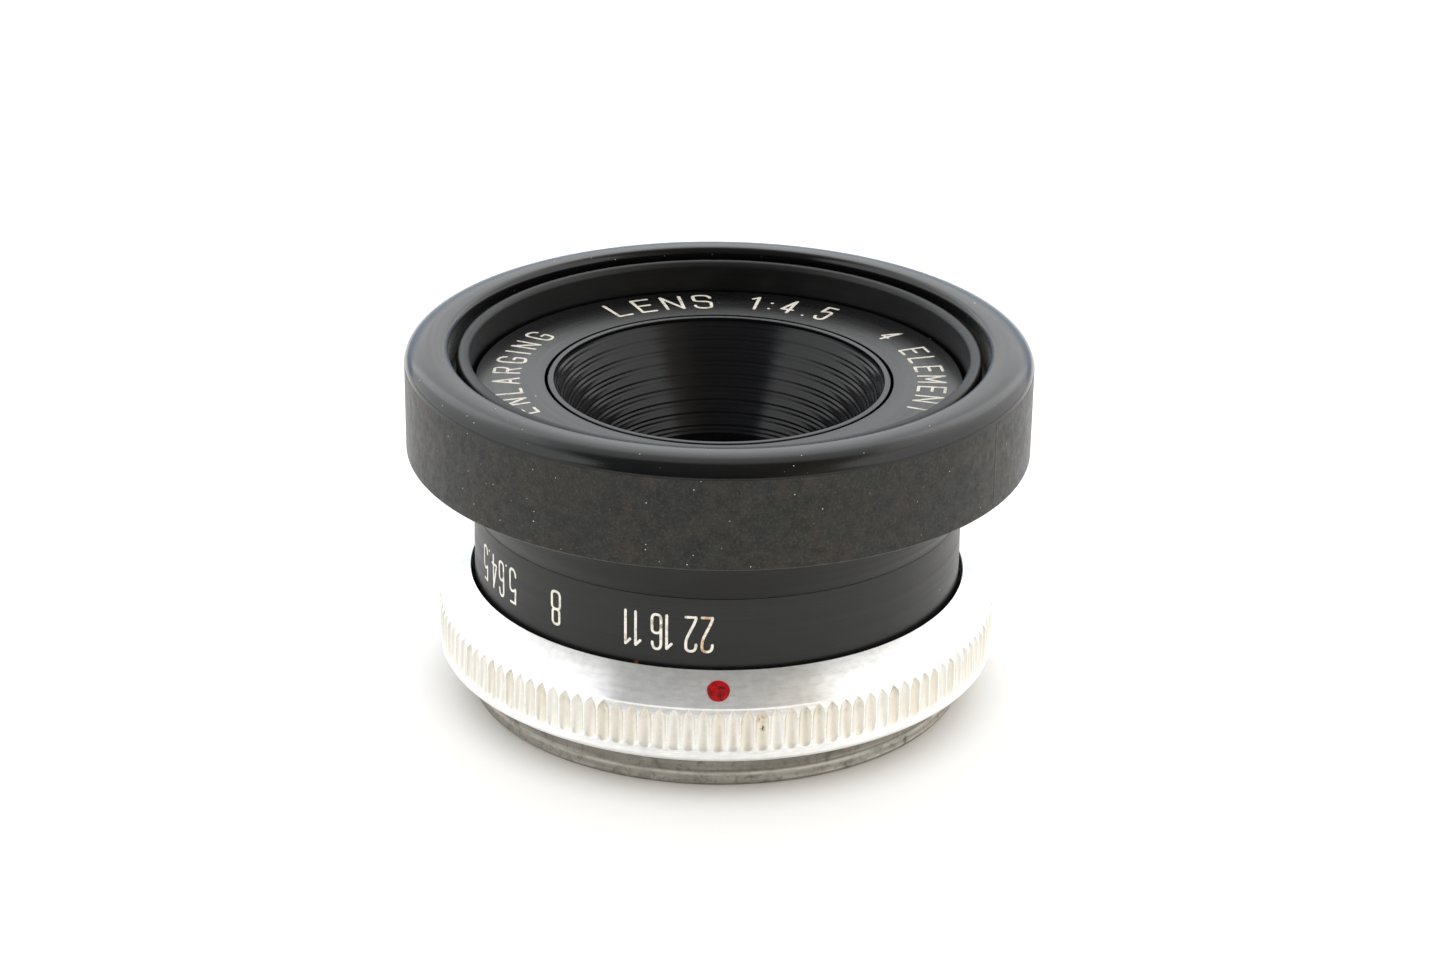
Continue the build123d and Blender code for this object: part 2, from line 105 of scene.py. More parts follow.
class Graph:
    """Builds the node tree of one procedural material round a Principled shader."""

    def __init__(self, name: str) -> None:
        """Starts an empty tree with a shader, an output and the piece's own coordinates."""
        self.material = bpy.data.materials.new(name)
        self.material.use_nodes = True
        self.tree = self.material.node_tree
        self.tree.nodes.clear()
        self.shader = self.node("ShaderNodeBsdfPrincipled")
        output = self.node("ShaderNodeOutputMaterial")
        self.tree.links.new(self.shader.outputs[0], output.inputs[0])
        self.place = self.node("ShaderNodeTexCoord").outputs["Object"]
        self.axes = self.node("ShaderNodeSeparateXYZ", {0: self.place}).outputs

    def node(self, kind: str, inputs: dict | None = None, **settings: object) -> bpy.types.Node:
        """Adds a node.

        Args:
            kind: Blender's name for the node type.
            inputs: Socket name or number to a constant or to the socket that feeds it.
            settings: Properties of the node itself.

        Returns:
            The new node.
        """
        made = self.tree.nodes.new(kind)
        for name, value in settings.items():
            setattr(made, name, value)
        for key, value in (inputs or {}).items():
            self.feed(made.inputs[key], value)
        return made

    def feed(self, target: Socket, value: Value) -> None:
        """Links a socket into the target, or sets a constant on it."""
        if isinstance(value, bpy.types.NodeSocket):
            self.tree.links.new(value, target)
        else:
            target.default_value = value

    def set(self, **values: Value) -> None:
        """Sets shader inputs, named with underscores for their spaces."""
        for name, value in values.items():
            self.feed(self.shader.inputs[name.replace("_", " ")], value)

    def math(self, operation: str, first: Value, second: Value = 0.0) -> Socket:
        """Adds a Math node and returns its result."""
        return self.node("ShaderNodeMath", {0: first, 1: second}, operation=operation).outputs[0]

    def times(self, *values: Value) -> Socket:
        """Multiplies values together."""
        product, *others = values
        for value in others:
            product = self.math("MULTIPLY", product, value)
        return product

    def span(self, value: Value, low: float, high: float, to_low: float = 0.0,
             to_high: float = 1.0) -> Socket:
        """Maps a range of values onto another one, clamped at both ends."""
        return self.node("ShaderNodeMapRange", {0: value, 1: low, 2: high, 3: to_low,
                                                4: to_high}).outputs[0]

    def band(self, value: Value, middle: float, reach: float, core: float) -> Socket:
        """Marks the values about a middle one: 1 up to the core's distance, 0 past the reach."""
        return self.span(self.math("ABSOLUTE", self.math("SUBTRACT", value, middle)), reach, core)

    def mix(self, factor: Value, first: Value, second: Value) -> Socket:
        """Mixes two colours by a factor and returns the colour."""
        return self.node("ShaderNodeMix", {0: factor, 6: first, 7: second},
                         data_type="RGBA").outputs[2]

    def noise(self, where: Value, scale: float, detail: float = 3.0, roughness: float = 0.5,
              distortion: float = 0.0) -> Socket:
        """Adds soft noise and returns its value, about 0.3 to 0.7."""
        return self.node("ShaderNodeTexNoise", {"Vector": where, "Scale": scale, "Detail": detail,
                                                "Roughness": roughness,
                                                "Distortion": distortion}).outputs[0]

    def specks(self, spacing: float, radius: float, share: float) -> Socket:
        """Scattered round specks, 1 on a speck and 0 elsewhere.

        Args:
            spacing: Typical distance between possible specks, in millimetres.
            radius: Largest radius of a speck, in millimetres.
            share: Share of the possible specks that are there.

        Returns:
            The mask.
        """
        cells = self.node("ShaderNodeTexVoronoi", {"Vector": self.place, "Scale": 1 / (spacing * MM)})
        chosen = self.node("ShaderNodeSeparateColor", {0: cells.outputs["Color"]}).outputs
        size = self.times(chosen[1], radius / spacing)
        inside = self.math("LESS_THAN", cells.outputs["Distance"], size)
        return self.times(inside, self.math("LESS_THAN", chosen[0], share))

    def radius(self) -> Socket:
        """Distance from the optical axis, in millimetres."""
        squares = self.math("ADD", self.math("POWER", self.axes[0], 2.0),
                            self.math("POWER", self.axes[1], 2.0))
        return self.times(self.math("SQRT", squares), 1 / MM)

    def height(self) -> Socket:
        """Height above the rear face of the thread, in millimetres."""
        return self.times(self.axes[2], 1 / MM)

    def bearing(self) -> Socket:
        """Angle about the optical axis from the index dot, in degrees, positive towards +X."""
        angle = self.math("ARCTAN2", self.axes[0], self.times(self.axes[1], -1.0))
        return self.math("DEGREES", angle)

    def tool_marks(self, around: float, height: float, radius: float, detail: float,
                   roughness: float) -> Socket:
        """Noise without a seam that is drawn out round the axis, as a lathe tool leaves it.

        Args:
            around: How fast the pattern changes round the axis.
            height: How fast it changes along the axis, per millimetre.
            radius: How fast it changes outwards, per millimetre.
            detail: Octaves of the noise.
            roughness: Strength of its finer octaves.

        Returns:
            The noise, about 0.3 to 0.7.
        """
        r = self.radius()
        ring = self.math("MAXIMUM", r, AXIS_CLEARANCE)
        along = self.math("ADD", self.times(self.height(), height), self.times(r, radius))
        turn = [self.times(self.math("DIVIDE", axis, ring), around / MM) for axis in self.axes[:2]]
        drawn_out = self.node("ShaderNodeCombineXYZ", {0: turn[0], 1: turn[1], 2: along})
        return self.noise(drawn_out.outputs[0], 1.0, detail, roughness)

    def patch(self, bearing: float, half_width: float, height: float, half_height: float) -> Socket:
        """A small ragged spot on the side of the lens.

        Args:
            bearing: Its middle about the axis, in degrees.
            half_width: Half its width, in degrees.
            height: Its middle along the axis, in millimetres.
            half_height: Half its height, in millimetres.

        Returns:
            The mask, 1 in the middle of the spot and 0 outside it.
        """
        across = self.band(self.bearing(), bearing, half_width, half_width * PATCH_CORE)
        up = self.band(self.height(), height, half_height, half_height * PATCH_CORE)
        ragged = self.span(self.noise(self.place, 2400.0, 3.0, 0.6), 0.42, 0.55)
        return self.times(across, up, ragged)

    def brush(self, amount: float) -> None:
        """Spreads reflections across the tool marks that run round the axis.

        Args:
            amount: Strength of the effect, 0 to 1.
        """
        slope = self.times(self.radius(), -MM)
        across = self.node("ShaderNodeCombineXYZ", {0: self.axes[0], 1: self.axes[1], 2: slope})
        along = self.node("ShaderNodeVectorMath", {0: across.outputs[0]}, operation="NORMALIZE")
        self.set(Anisotropic=amount, Tangent=along.outputs[0])

    def bump(self, height: Value, depth: float, strength: float = 1.0) -> None:
        """Raises the surface by a height map, on top of any bump that is there.

        Args:
            height: The map, 0 to 1.
            depth: Height of a full step, in millimetres.
            strength: Strength of the effect.
        """
        made = self.node("ShaderNodeBump", {"Height": height, "Strength": strength,
                                            "Distance": depth * MM})
        normal = self.shader.inputs["Normal"]
        if normal.links:
            self.feed(made.inputs["Normal"], normal.links[0].from_socket)
        self.feed(normal, made.outputs[0])


@dataclass(frozen=True)
class Flutes:
    """Flutes pressed into the silver ring: how many, between which heights, and the rim's lean.

    The rim leans in by `lean` from the height `lean_from` up to the flutes' tops.
    """

    count: int = 126
    foot: float = 4.05
    top: float = 7.4
    lean_from: float = 6.95
    lean: float = 0.16


@dataclass(frozen=True)
class BrushedAluminium:
    """Lathe-turned bright aluminium of the silver ring, with old dirt and a stripe of painted shade
    in its flutes.
    """

    flutes: Flutes
    rim_radius: float
    bright: tuple = tone(253, 253, 251)
    shade: tuple = tone(226, 226, 224)
    clean_flute: tuple = tone(234, 231, 223)
    ivory: tuple = tone(225, 219, 205)
    painted_flute_shade: tuple = tone(198, 191, 172)
    rust: tuple = tone(186, 108, 22)
    grime: tuple = tone(92, 78, 52)
    metallic: float = 0.68
    brushing: float = 0.92
    flute_edge: float = 0.1
    film_depth: tuple[float, float] = (0.004, 0.03)
    rust_bearing: float = 8.5
    rust_height: float = 6.65
    grime_height: float = 5.85

    def build(self) -> bpy.types.Material:
        """Makes the material."""
        g = Graph("bright_aluminium_turned")
        grain = g.tool_marks(34.0, 7.0, 9.0, detail=2.0, roughness=0.5)
        scratches = g.tool_marks(9.0, 11.0, 13.0, detail=2.0, roughness=0.5)
        brushed = g.math("ADD", g.times(grain, 0.5), g.times(scratches, 0.5))
        metal = g.mix(g.span(brushed, 0.32, 0.66), self.shade, self.bright)
        g.set(Base_Color=g.mix(self.in_flute(g), metal, self.flute_dirt_and_shade(g)), Metallic=self.metallic,
              Roughness=g.span(brushed, 0.3, 0.7, 0.34, 0.29))
        g.brush(self.brushing)
        return g.material

    def in_flute(self, g: Graph) -> Socket:
        """Where the surface lies below the rim, 1 inside a flute and 0 on the bare rim."""
        f = self.flutes
        rim = g.math("SUBTRACT", self.rim_radius, g.span(g.height(), f.lean_from, f.top, 0.0, f.lean))
        low = g.span(g.height(), f.foot, f.foot + self.flute_edge)
        high = g.span(g.height(), f.top, f.top - self.flute_edge)
        return g.times(g.span(g.math("SUBTRACT", rim, g.radius()), *self.film_depth), low, high)

    def flute_dirt_and_shade(self, g: Graph) -> Socket:
        """Colour inside the flutes: ivory film, a soft upright stripe of painted shade just right of
        each flute's middle, brown tips and one rust spot.

        Args:
            g: The material's graph.

        Returns:
            The colour.
        """
        turn = g.math("ADD", g.math("DIVIDE", g.bearing(), 360 / self.flutes.count), 0.5)
        number = g.math("FLOOR", turn)
        each = g.node("ShaderNodeTexWhiteNoise", {"W": number}, noise_dimensions="1D").outputs[0]
        across = g.math("SUBTRACT", turn, number)
        colour = g.mix(g.span(each, 0.15, 0.95), self.clean_flute, self.ivory)
        blotches = g.noise(g.place, scale=1100.0, detail=4.0, roughness=0.7)
        # painted shade: a darker upright stripe on the same side of every flute, broken up by blotchy
        # noise
        painted_shade_stripes = g.times(g.band(across, 0.56, 0.24, 0.06), g.span(blotches, 0.36, 0.60, 0.1, 0.5))
        colour = g.mix(painted_shade_stripes, colour, self.painted_flute_shade)
        tips = g.times(g.span(g.height(), 6.1, 7.2), g.span(each, 0.2, 1.0, 0.05, 0.6))
        colour = g.mix(g.times(tips, g.span(blotches, 0.44, 0.66)), colour, self.grime)
        spots = g.specks(spacing=0.5, radius=0.05, share=0.10)
        colour = g.mix(g.times(spots, 0.7), colour, self.grime)
        colour = g.mix(g.patch(self.rust_bearing, 1.1, self.rust_height, 0.36), colour, self.rust)
        return g.mix(g.patch(self.rust_bearing + 0.1, 0.7, self.grime_height, 0.3), colour,
                     self.grime)


@dataclass(frozen=True)
class RawThreadMetal:
    """Dull bare metal of the thread ring, with rings of wear, dark stains, a painted highlight band
    round the thread and painted shade under the silver ring above it.
    """

    light: tuple = tone(190, 186, 178)
    dark: tuple = tone(142, 138, 130)
    # colour of the painted highlight band on the thread
    worn: tuple = tone(226, 223, 215)
    # dark colour of the random mottling, and also of the painted shade under the silver ring
    dark_mottle_and_shade: tuple = tone(92, 88, 79)
    stain: tuple = tone(58, 52, 44)
    highlight_height: float = 1.0

    def build(self) -> bpy.types.Material:
        """Makes the material."""
        g = Graph("raw_thread_metal_worn")
        rings = g.tool_marks(1.6, 3.2, 4.0, detail=5.0, roughness=0.65)
        cloud = g.noise(g.place, scale=300.0, detail=4.0, roughness=0.6)
        mottle = g.noise(g.place, scale=1900.0, detail=4.0, roughness=0.7)
        metal = g.mix(g.span(rings, 0.25, 0.75), self.dark, self.light)
        metal = g.mix(g.span(cloud, 0.45, 0.62, 0.0, 0.4), metal, self.dark)
        metal = g.mix(g.span(mottle, 0.50, 0.66, 0.0, 0.5), metal, self.dark_mottle_and_shade)
        stains = g.noise(g.place, scale=520.0, detail=3.0, roughness=0.5, distortion=0.6)
        metal = g.mix(g.span(stains, 0.56, 0.72, 0.0, 0.7), metal, self.stain)
        # painted highlight: a light band round the thread at one height, where a crest catches the
        # light
        crest = g.times(g.band(g.height(), self.highlight_height, 0.22, 0.05),
                        g.span(cloud, 0.35, 0.55, 0.1, 0.7))
        metal = g.mix(crest, metal, self.worn)
        # painted shadow of the silver ring: the thread is darkened above the highlight band
        painted_flange_shadow = g.span(g.height(), self.highlight_height + 0.05, self.highlight_height + 0.3, 0.0, 0.42)
        metal = g.mix(painted_flange_shadow, metal, self.dark_mottle_and_shade)
        g.set(Base_Color=metal, Metallic=0.9, Roughness=g.span(cloud, 0.3, 0.7, 0.36, 0.55))
        g.bump(rings, depth=0.012, strength=0.5)
        g.bump(cloud, depth=0.006, strength=0.4)
        return g.material


@dataclass(frozen=True)
class RedEnamel:
    """Glossy red paint of the index dot, brushed in by hand and a little mottled."""

    red: tuple = tone(176, 6, 16)
    deep: tuple = tone(88, 2, 5)

    def build(self) -> bpy.types.Material:
        """Makes the material."""
        g = Graph("red_enamel_dot")
        cloud = g.noise(g.place, scale=2600.0, detail=3.0, roughness=0.65)
        flecks = g.specks(spacing=0.22, radius=0.08, share=0.35)
        colour = g.mix(g.span(cloud, 0.40, 0.66), self.red, self.deep)
        colour = g.mix(g.times(flecks, 0.45), colour, self.deep)
        g.set(Base_Color=colour, Roughness=g.span(cloud, 0.3, 0.7, 0.22, 0.4))
        g.bump(cloud, depth=0.02, strength=0.5)
        return g.material


@dataclass(frozen=True)
class TurnedBlack:
    """Black finish over turned metal: fine rings from the tool, faint rubbing and dust.

    Fields give the colours, the gloss and how much of each kind of wear shows.
    """

    name: str
    black: tuple = tone(14, 14, 14)
    rubbed: tuple = tone(30, 30, 30)
    gloss: tuple[float, float] = (0.30, 0.42)
    rings: float = 0.5
    ring_depth: float = 0.006
    dust: float = 0.02
    specular: float = 0.4
    dust_grain: tuple = tone(200, 198, 190)
    stain: tuple = tone(120, 74, 34)
    stain_band: tuple[float, float, float, float] | None = None

    def build(self) -> bpy.types.Material:
        """Makes the material."""
        g = Graph(self.name)
        fine = g.tool_marks(0.8, 9.0, 11.0, detail=5.0, roughness=0.7)
        broad = g.tool_marks(0.5, 1.3, 1.6, detail=3.0, roughness=0.5)
        cloud = g.noise(g.place, scale=210.0, detail=4.0, roughness=0.6)
        colour = g.mix(g.span(fine, 0.42, 0.72, 0.0, self.rings), self.black, self.rubbed)
        colour = g.mix(g.span(cloud, 0.50, 0.75, 0.0, 0.35), colour, self.rubbed)
        specks = g.specks(spacing=1.4, radius=0.07, share=self.dust * 8)
        colour = g.mix(g.times(specks, 0.8), colour, self.dust_grain)
        if self.stain_band:
            colour = g.mix(g.patch(*self.stain_band), colour, self.stain)
        low, high = self.gloss
        g.set(Base_Color=colour, Roughness=g.span(broad, 0.3, 0.7, low, high),
              Specular_IOR_Level=self.specular)
        g.bump(fine, depth=self.ring_depth, strength=0.6)
        return g.material


@dataclass(frozen=True)
class GripMoulding:
    """Black moulded grip: a mottled brown and green-black side under a polished top edge."""

    black: tuple = tone(6, 6, 6)
    brown: tuple = tone(36, 28, 18)
    green: tuple = tone(19, 22, 16)
    chalk: tuple = tone(56, 56, 50)
    dust: tuple = tone(205, 202, 192)
    polish_height: float = 26.9
    seam_bearing: float = 57.25

    def build(self) -> bpy.types.Material:
        """Makes the material."""
        g = Graph("grip_moulding_mottled")
        patches = g.noise(g.place, scale=330.0, detail=4.0, roughness=0.62, distortion=0.4)
        mottle = g.noise(g.place, scale=1300.0, detail=5.0, roughness=0.72)
        fine = g.noise(g.place, scale=4600.0, detail=4.0, roughness=0.75)
        smear = g.tool_marks(1.6, 2.2, 2.2, detail=4.0, roughness=0.6)

        polished = g.span(g.height(), self.polish_height - 0.01, self.polish_height + 0.03)
        side = g.math("SUBTRACT", 1.0, polished)
        matte = g.mix(g.span(patches, 0.42, 0.62), self.green, self.brown)
        matte = g.mix(g.span(mottle, 0.42, 0.62, 0.0, 0.75), matte, self.black)
        matte = g.mix(g.span(fine, 0.50, 0.68, 0.0, 0.6), matte, self.chalk)
        colour = g.mix(side, self.black, matte)

        seam = g.times(g.band(g.bearing(), self.seam_bearing, 0.30, 0.10), side)
        colour = g.mix(g.times(seam, 0.6), colour, self.black)
        specks = g.specks(spacing=0.50, radius=0.045, share=0.40)
        crumbs = g.specks(spacing=2.2, radius=0.08, share=0.25)
        colour = g.mix(g.times(g.math("MAXIMUM", specks, crumbs), 0.85), colour, self.dust)
        g.set(Base_Color=colour, Specular_IOR_Level=0.38, Sheen_Weight=0.2, Sheen_Roughness=0.3)

        dull = g.span(mottle, 0.35, 0.65, 0.44, 0.60)
        bright = g.span(smear, 0.35, 0.70, 0.11, 0.24)
        g.set(Roughness=g.math("ADD", g.times(dull, side), g.times(bright, polished)))
        g.bump(fine, depth=0.012, strength=0.35)
        g.bump(seam, depth=0.02, strength=0.6)
        return g.material


@dataclass(frozen=True)
class PaintFill:
    """Off-white paint in the engraved numbers and letters, a little uneven and stained."""

    name: str
    white: tuple = tone(228, 224, 213)
    worn: tuple = tone(164, 156, 140)
    rust: tuple = tone(178, 118, 52)
    rust_bearing: float = NOWHERE

    def build(self) -> bpy.types.Material:
        """Makes the material."""
        g = Graph(self.name)
        cloud = g.noise(g.place, scale=1500.0, detail=4.0, roughness=0.7)
        colour = g.mix(g.span(cloud, 0.50, 0.70), self.white, self.worn)
        near = g.band(g.bearing(), self.rust_bearing, 1.6, 0.4)
        colour = g.mix(g.times(near, g.span(cloud, 0.42, 0.54, 0.0, 0.8)), colour, self.rust)
        g.set(Base_Color=colour, Roughness=g.span(cloud, 0.3, 0.7, 0.5, 0.7))
        g.bump(cloud, depth=0.01, strength=0.4)
        return g.material


@dataclass(frozen=True)
class CoatedGlass:
    """Polished glass with a faint warm coating and a little dust."""

    name: str = "coated_glass_clear"
    tint: tuple = tone(253, 252, 248)
    dusty: tuple = tone(238, 232, 224)
    coat: tuple = tone(248, 230, 210)
    index: float = 1.38
    coat_index: float = 1.6

    def build(self) -> bpy.types.Material:
        """Makes the material."""
        g = Graph(self.name)
        haze = g.noise(g.place, scale=700.0, detail=4.0, roughness=0.6)
        colour = g.mix(g.span(haze, 0.40, 0.75), self.tint, self.dusty)
        g.set(Base_Color=colour, Transmission_Weight=1.0, IOR=self.index,
              Roughness=g.span(haze, 0.5, 0.8, 0.0, 0.03), Coat_Weight=0.15,
              Coat_Roughness=0.02, Coat_IOR=self.coat_index, Coat_Tint=self.coat)
        return g.material


@dataclass(frozen=True)
class PlainMetal:
    """Machined metal of the small hidden parts: brass, steel or blued spring steel."""

    name: str
    light: tuple
    dark: tuple
    gloss: tuple[float, float] = (0.25, 0.45)

    def build(self) -> bpy.types.Material:
        """Makes the material."""
        g = Graph(self.name)
        rings = g.tool_marks(1.0, 6.0, 6.0, detail=4.0, roughness=0.6)
        cloud = g.noise(g.place, scale=420.0, detail=4.0, roughness=0.6)
        colour = g.mix(g.span(rings, 0.35, 0.65), self.dark, self.light)
        colour = g.mix(g.span(cloud, 0.5, 0.7, 0.0, 0.5), colour, self.dark)
        g.set(Base_Color=colour, Metallic=1.0, Roughness=g.span(cloud, 0.3, 0.7, *self.gloss))
        g.bump(rings, depth=0.006, strength=0.5)
        return g.material


@dataclass(frozen=True)
class PaleFloor:
    """Seamless white paper with the faintest cloudiness, and a painted contact shadow, a little grey,
    where the lens stands.
    """

    white: tuple = tone(248, 247, 245)
    cloud: tuple = tone(244, 243, 241)
    painted_contact_shadow: tuple = tone(216, 213, 208)
    stand_radius: float = 19.5
    contact_shadow_reach: float = 4.5

    def build(self) -> bpy.types.Material:
        """Makes the material."""
        g = Graph("pale_paper")
        soft = g.noise(g.place, scale=14.0, detail=2.0, roughness=0.5)
        paper = g.mix(g.span(soft, 0.35, 0.65), self.white, self.cloud)
        # painted contact shadow: the paper greys towards the lens's foot
        near = g.span(g.radius(), self.stand_radius + self.contact_shadow_reach, self.stand_radius)
        g.set(Base_Color=g.mix(g.math("POWER", near, 1.6), paper, self.painted_contact_shadow), Roughness=0.7)
        return g.material


# ---- making meshes ---------------------------------------------------------------------------

@dataclass(frozen=True)
class Ring:
    """Size of a round CAD part in millimetres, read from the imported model."""

    radius: float
    foot: float
    top: float

    @classmethod
    def of(cls, node: str) -> "Ring":
        """Measures a CAD node."""
        low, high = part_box(node)
        return cls(max(high.x, -low.x) / MM, low.z / MM, high.z / MM)


@dataclass(frozen=True)
class Corner:
    """A corner of a turned section: radius, height and how far its edge is rounded off."""

    r: float
    z: float
    rounding: float = 0.0


@dataclass
class Turning:
    """A piece turned about the optical axis from a section.

    Fields: the section's corners in order, whether it closes on itself (a ring) or starts and
    ends on the axis (a lens), the steps of a full turn and the steps of a rounded edge.
    """

    corners: list[Corner]
    closed: bool = True
    steps: int = 192
    rounding_steps: int = 4

    def form(self) -> bmesh.types.BMesh:
        """Rounds the section's corners and spins it through a full turn.

        Returns:
            The closed mesh, in millimetres.
        """
        bm = bmesh.new()
        points = [bm.verts.new((c.r, 0.0, c.z)) for c in self.corners]
        for first, second in zip(points, points[1:]):
            bm.edges.new((first, second))
        if self.closed:
            bm.edges.new((points[-1], points[0]))
        for rounding in sorted({c.rounding for c in self.corners} - {0.0}):
            edge = [v for v, c in zip(points, self.corners) if c.rounding == rounding]
            bmesh.ops.bevel(bm, geom=edge, offset=rounding, offset_type="OFFSET",
                            segments=self.rounding_steps, profile=0.5, affect="VERTICES",
                            material=-1)
        bmesh.ops.spin(bm, geom=bm.verts[:] + bm.edges[:], cent=(0, 0, 0), axis=(0, 0, 1),
                       angle=math.tau, steps=self.steps, use_merge=True, use_duplicate=False)
        bmesh.ops.remove_doubles(bm, verts=bm.verts, dist=MERGE)
        bmesh.ops.recalc_face_normals(bm, faces=bm.faces)
        return bm


@dataclass(frozen=True)
class Fitting:
    """How a finished piece joins the model: its name, body, finish slot and the nodes it replaces."""

    name: str
    body: Body
    slot: Slot
    nodes: tuple[str, ...] = ()


def deliver(form: bmesh.types.BMesh, fitting: Fitting, material: bpy.types.Material,
            sharp_above: float = 32.0) -> bpy.types.Object:
    """Turns a finished form into a piece of the model.

    Args:
        form: The mesh in millimetres, freed afterwards.
        fitting: Name, body, slot and replaced nodes.
        material: The piece's finish.
        sharp_above: Edges that turn by more than this many degrees stay crisp.

    Returns:
        The piece, its object at the origin.
    """
    bmesh.ops.scale(form, vec=(MM, MM, MM), verts=form.verts)
    mesh = bpy.data.meshes.new(fitting.name)
    form.to_mesh(mesh)
    form.free()
    mesh.shade_smooth()
    mesh.set_sharp_from_angle(angle=math.radians(sharp_above))
    mesh.materials.append(material)
    piece = bpy.data.objects.new(fitting.name, mesh)
    bpy.context.scene.collection.objects.link(piece)
    even = piece.modifiers.new("even_shading", "WEIGHTED_NORMAL")
    even.keep_sharp = True
    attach(piece, fitting.body.value)
    if fitting.nodes:
        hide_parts(*fitting.nodes)
    log.info("%s: %d faces", fitting.name, len(mesh.polygons))
    return piece


def dress(material: bpy.types.Material, *nodes: str) -> None:
    """Gives carried-over CAD nodes their finish.

    Args:
        material: The finish.
        nodes: Names of the nodes.
    """
    for name in nodes:
        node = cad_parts[name]
        if not node.material_slots:
            node.data.materials.append(material)
        for place in node.material_slots:
            place.material = material
    log.info("%s on %d CAD nodes", material.name, len(nodes))


# ---- lettering -------------------------------------------------------------------------------

@dataclass(frozen=True)
class Stroke:
    """One pass of the engraving tool, on a letter one unit high.

    Fields: the points, and whether they are corners of straight runs, control points of an open
    curve, or control points of a closed loop.
    """

    points: tuple[tuple[float, float], ...]
    curved: bool = False
    closed: bool = False


def line(*points: tuple[float, float]) -> Stroke:
    """A stroke of straight runs."""
    return Stroke(points)


def bend(*points: tuple[float, float]) -> Stroke:
    """A stroke that curves smoothly along its points."""
    return Stroke(points, curved=True)


def bowl(left: float, foot: float, right: float, top: float) -> Stroke:
    """A closed upright loop that just fills a box."""
    middle = (foot + top) / 2
    return Stroke(((left, foot), (right, foot), (right, middle), (right, top), (left, top),
                   (left, middle)), curved=True, closed=True)


GLYPHS: dict[str, tuple[Stroke, ...]] = {
    "1": (line((0.0, 0.85), (0.16, 1.0), (0.16, 0.0)),),
    "2": (bend((0.0, 0.82), (0.0, 1.02), (0.33, 1.03), (0.34, 0.76), (0.28, 0.58), (0.0, 0.08),
               (0.0, 0.0)), line((0.0, 0.0), (0.34, 0.0))),
    "4": (line((0.25, 0.0), (0.25, 1.0), (0.0, 0.27), (0.36, 0.27)),),
    "5": (line((0.31, 1.0), (0.03, 1.0), (0.01, 0.56)),
          bend((0.01, 0.56), (0.10, 0.64), (0.34, 0.66), (0.34, 0.30), (0.34, -0.03), (0.02, -0.03),
               (0.0, 0.17))),
    "6": (bowl(0.0, 0.0, 0.30, 0.56),
          bend((0.0, 0.26), (0.0, 0.66), (0.0, 1.04), (0.28, 1.04), (0.29, 0.84))),
    "8": (bowl(0.0, 0.0, 0.35, 0.54), bowl(0.03, 0.54, 0.32, 1.0)),
    ".": (line((0.06, 0.0)),),
    ":": (line((0.06, 0.14)), line((0.06, 0.62))),
    "A": (line((0.0, 0.0), (0.29, 1.0), (0.58, 0.0)), line((0.10, 0.33), (0.48, 0.33))),
    "E": (line((0.48, 1.0), (0.0, 1.0), (0.0, 0.0), (0.48, 0.0)), line((0.0, 0.52), (0.42, 0.52))),
    "G": (bend((0.54, 0.80), (0.50, 1.02), (0.02, 1.08), (0.0, 0.5), (0.02, -0.08), (0.52, -0.03),
               (0.55, 0.18), (0.55, 0.44)), line((0.55, 0.44), (0.32, 0.44))),
    "I": (line((0.0, 0.0), (0.0, 1.0)),),
    "L": (line((0.0, 1.0), (0.0, 0.0), (0.46, 0.0)),),
    "M": (line((0.0, 0.0), (0.0, 1.0), (0.31, 0.28), (0.62, 1.0), (0.62, 0.0)),),
    "N": (line((0.0, 0.0), (0.0, 1.0), (0.54, 0.0), (0.54, 1.0)),),
    "R": (line((0.0, 0.0), (0.0, 1.0)),
          bend((0.0, 1.0), (0.26, 1.0), (0.54, 1.0), (0.54, 0.48), (0.26, 0.48), (0.0, 0.48)),
          line((0.28, 0.48), (0.54, 0.0))),
    "S": (bend((0.49, 0.82), (0.46, 1.03), (0.0, 1.05), (0.0, 0.74), (0.02, 0.55), (0.50, 0.50),
               (0.52, 0.26), (0.52, -0.05), (0.02, -0.03), (0.0, 0.19)),),
    "T": (line((0.0, 1.0), (0.54, 1.0)), line((0.27, 1.0), (0.27, 0.0))),
}
WORD_GAP = 0.45                  # advance of a space, in letter heights


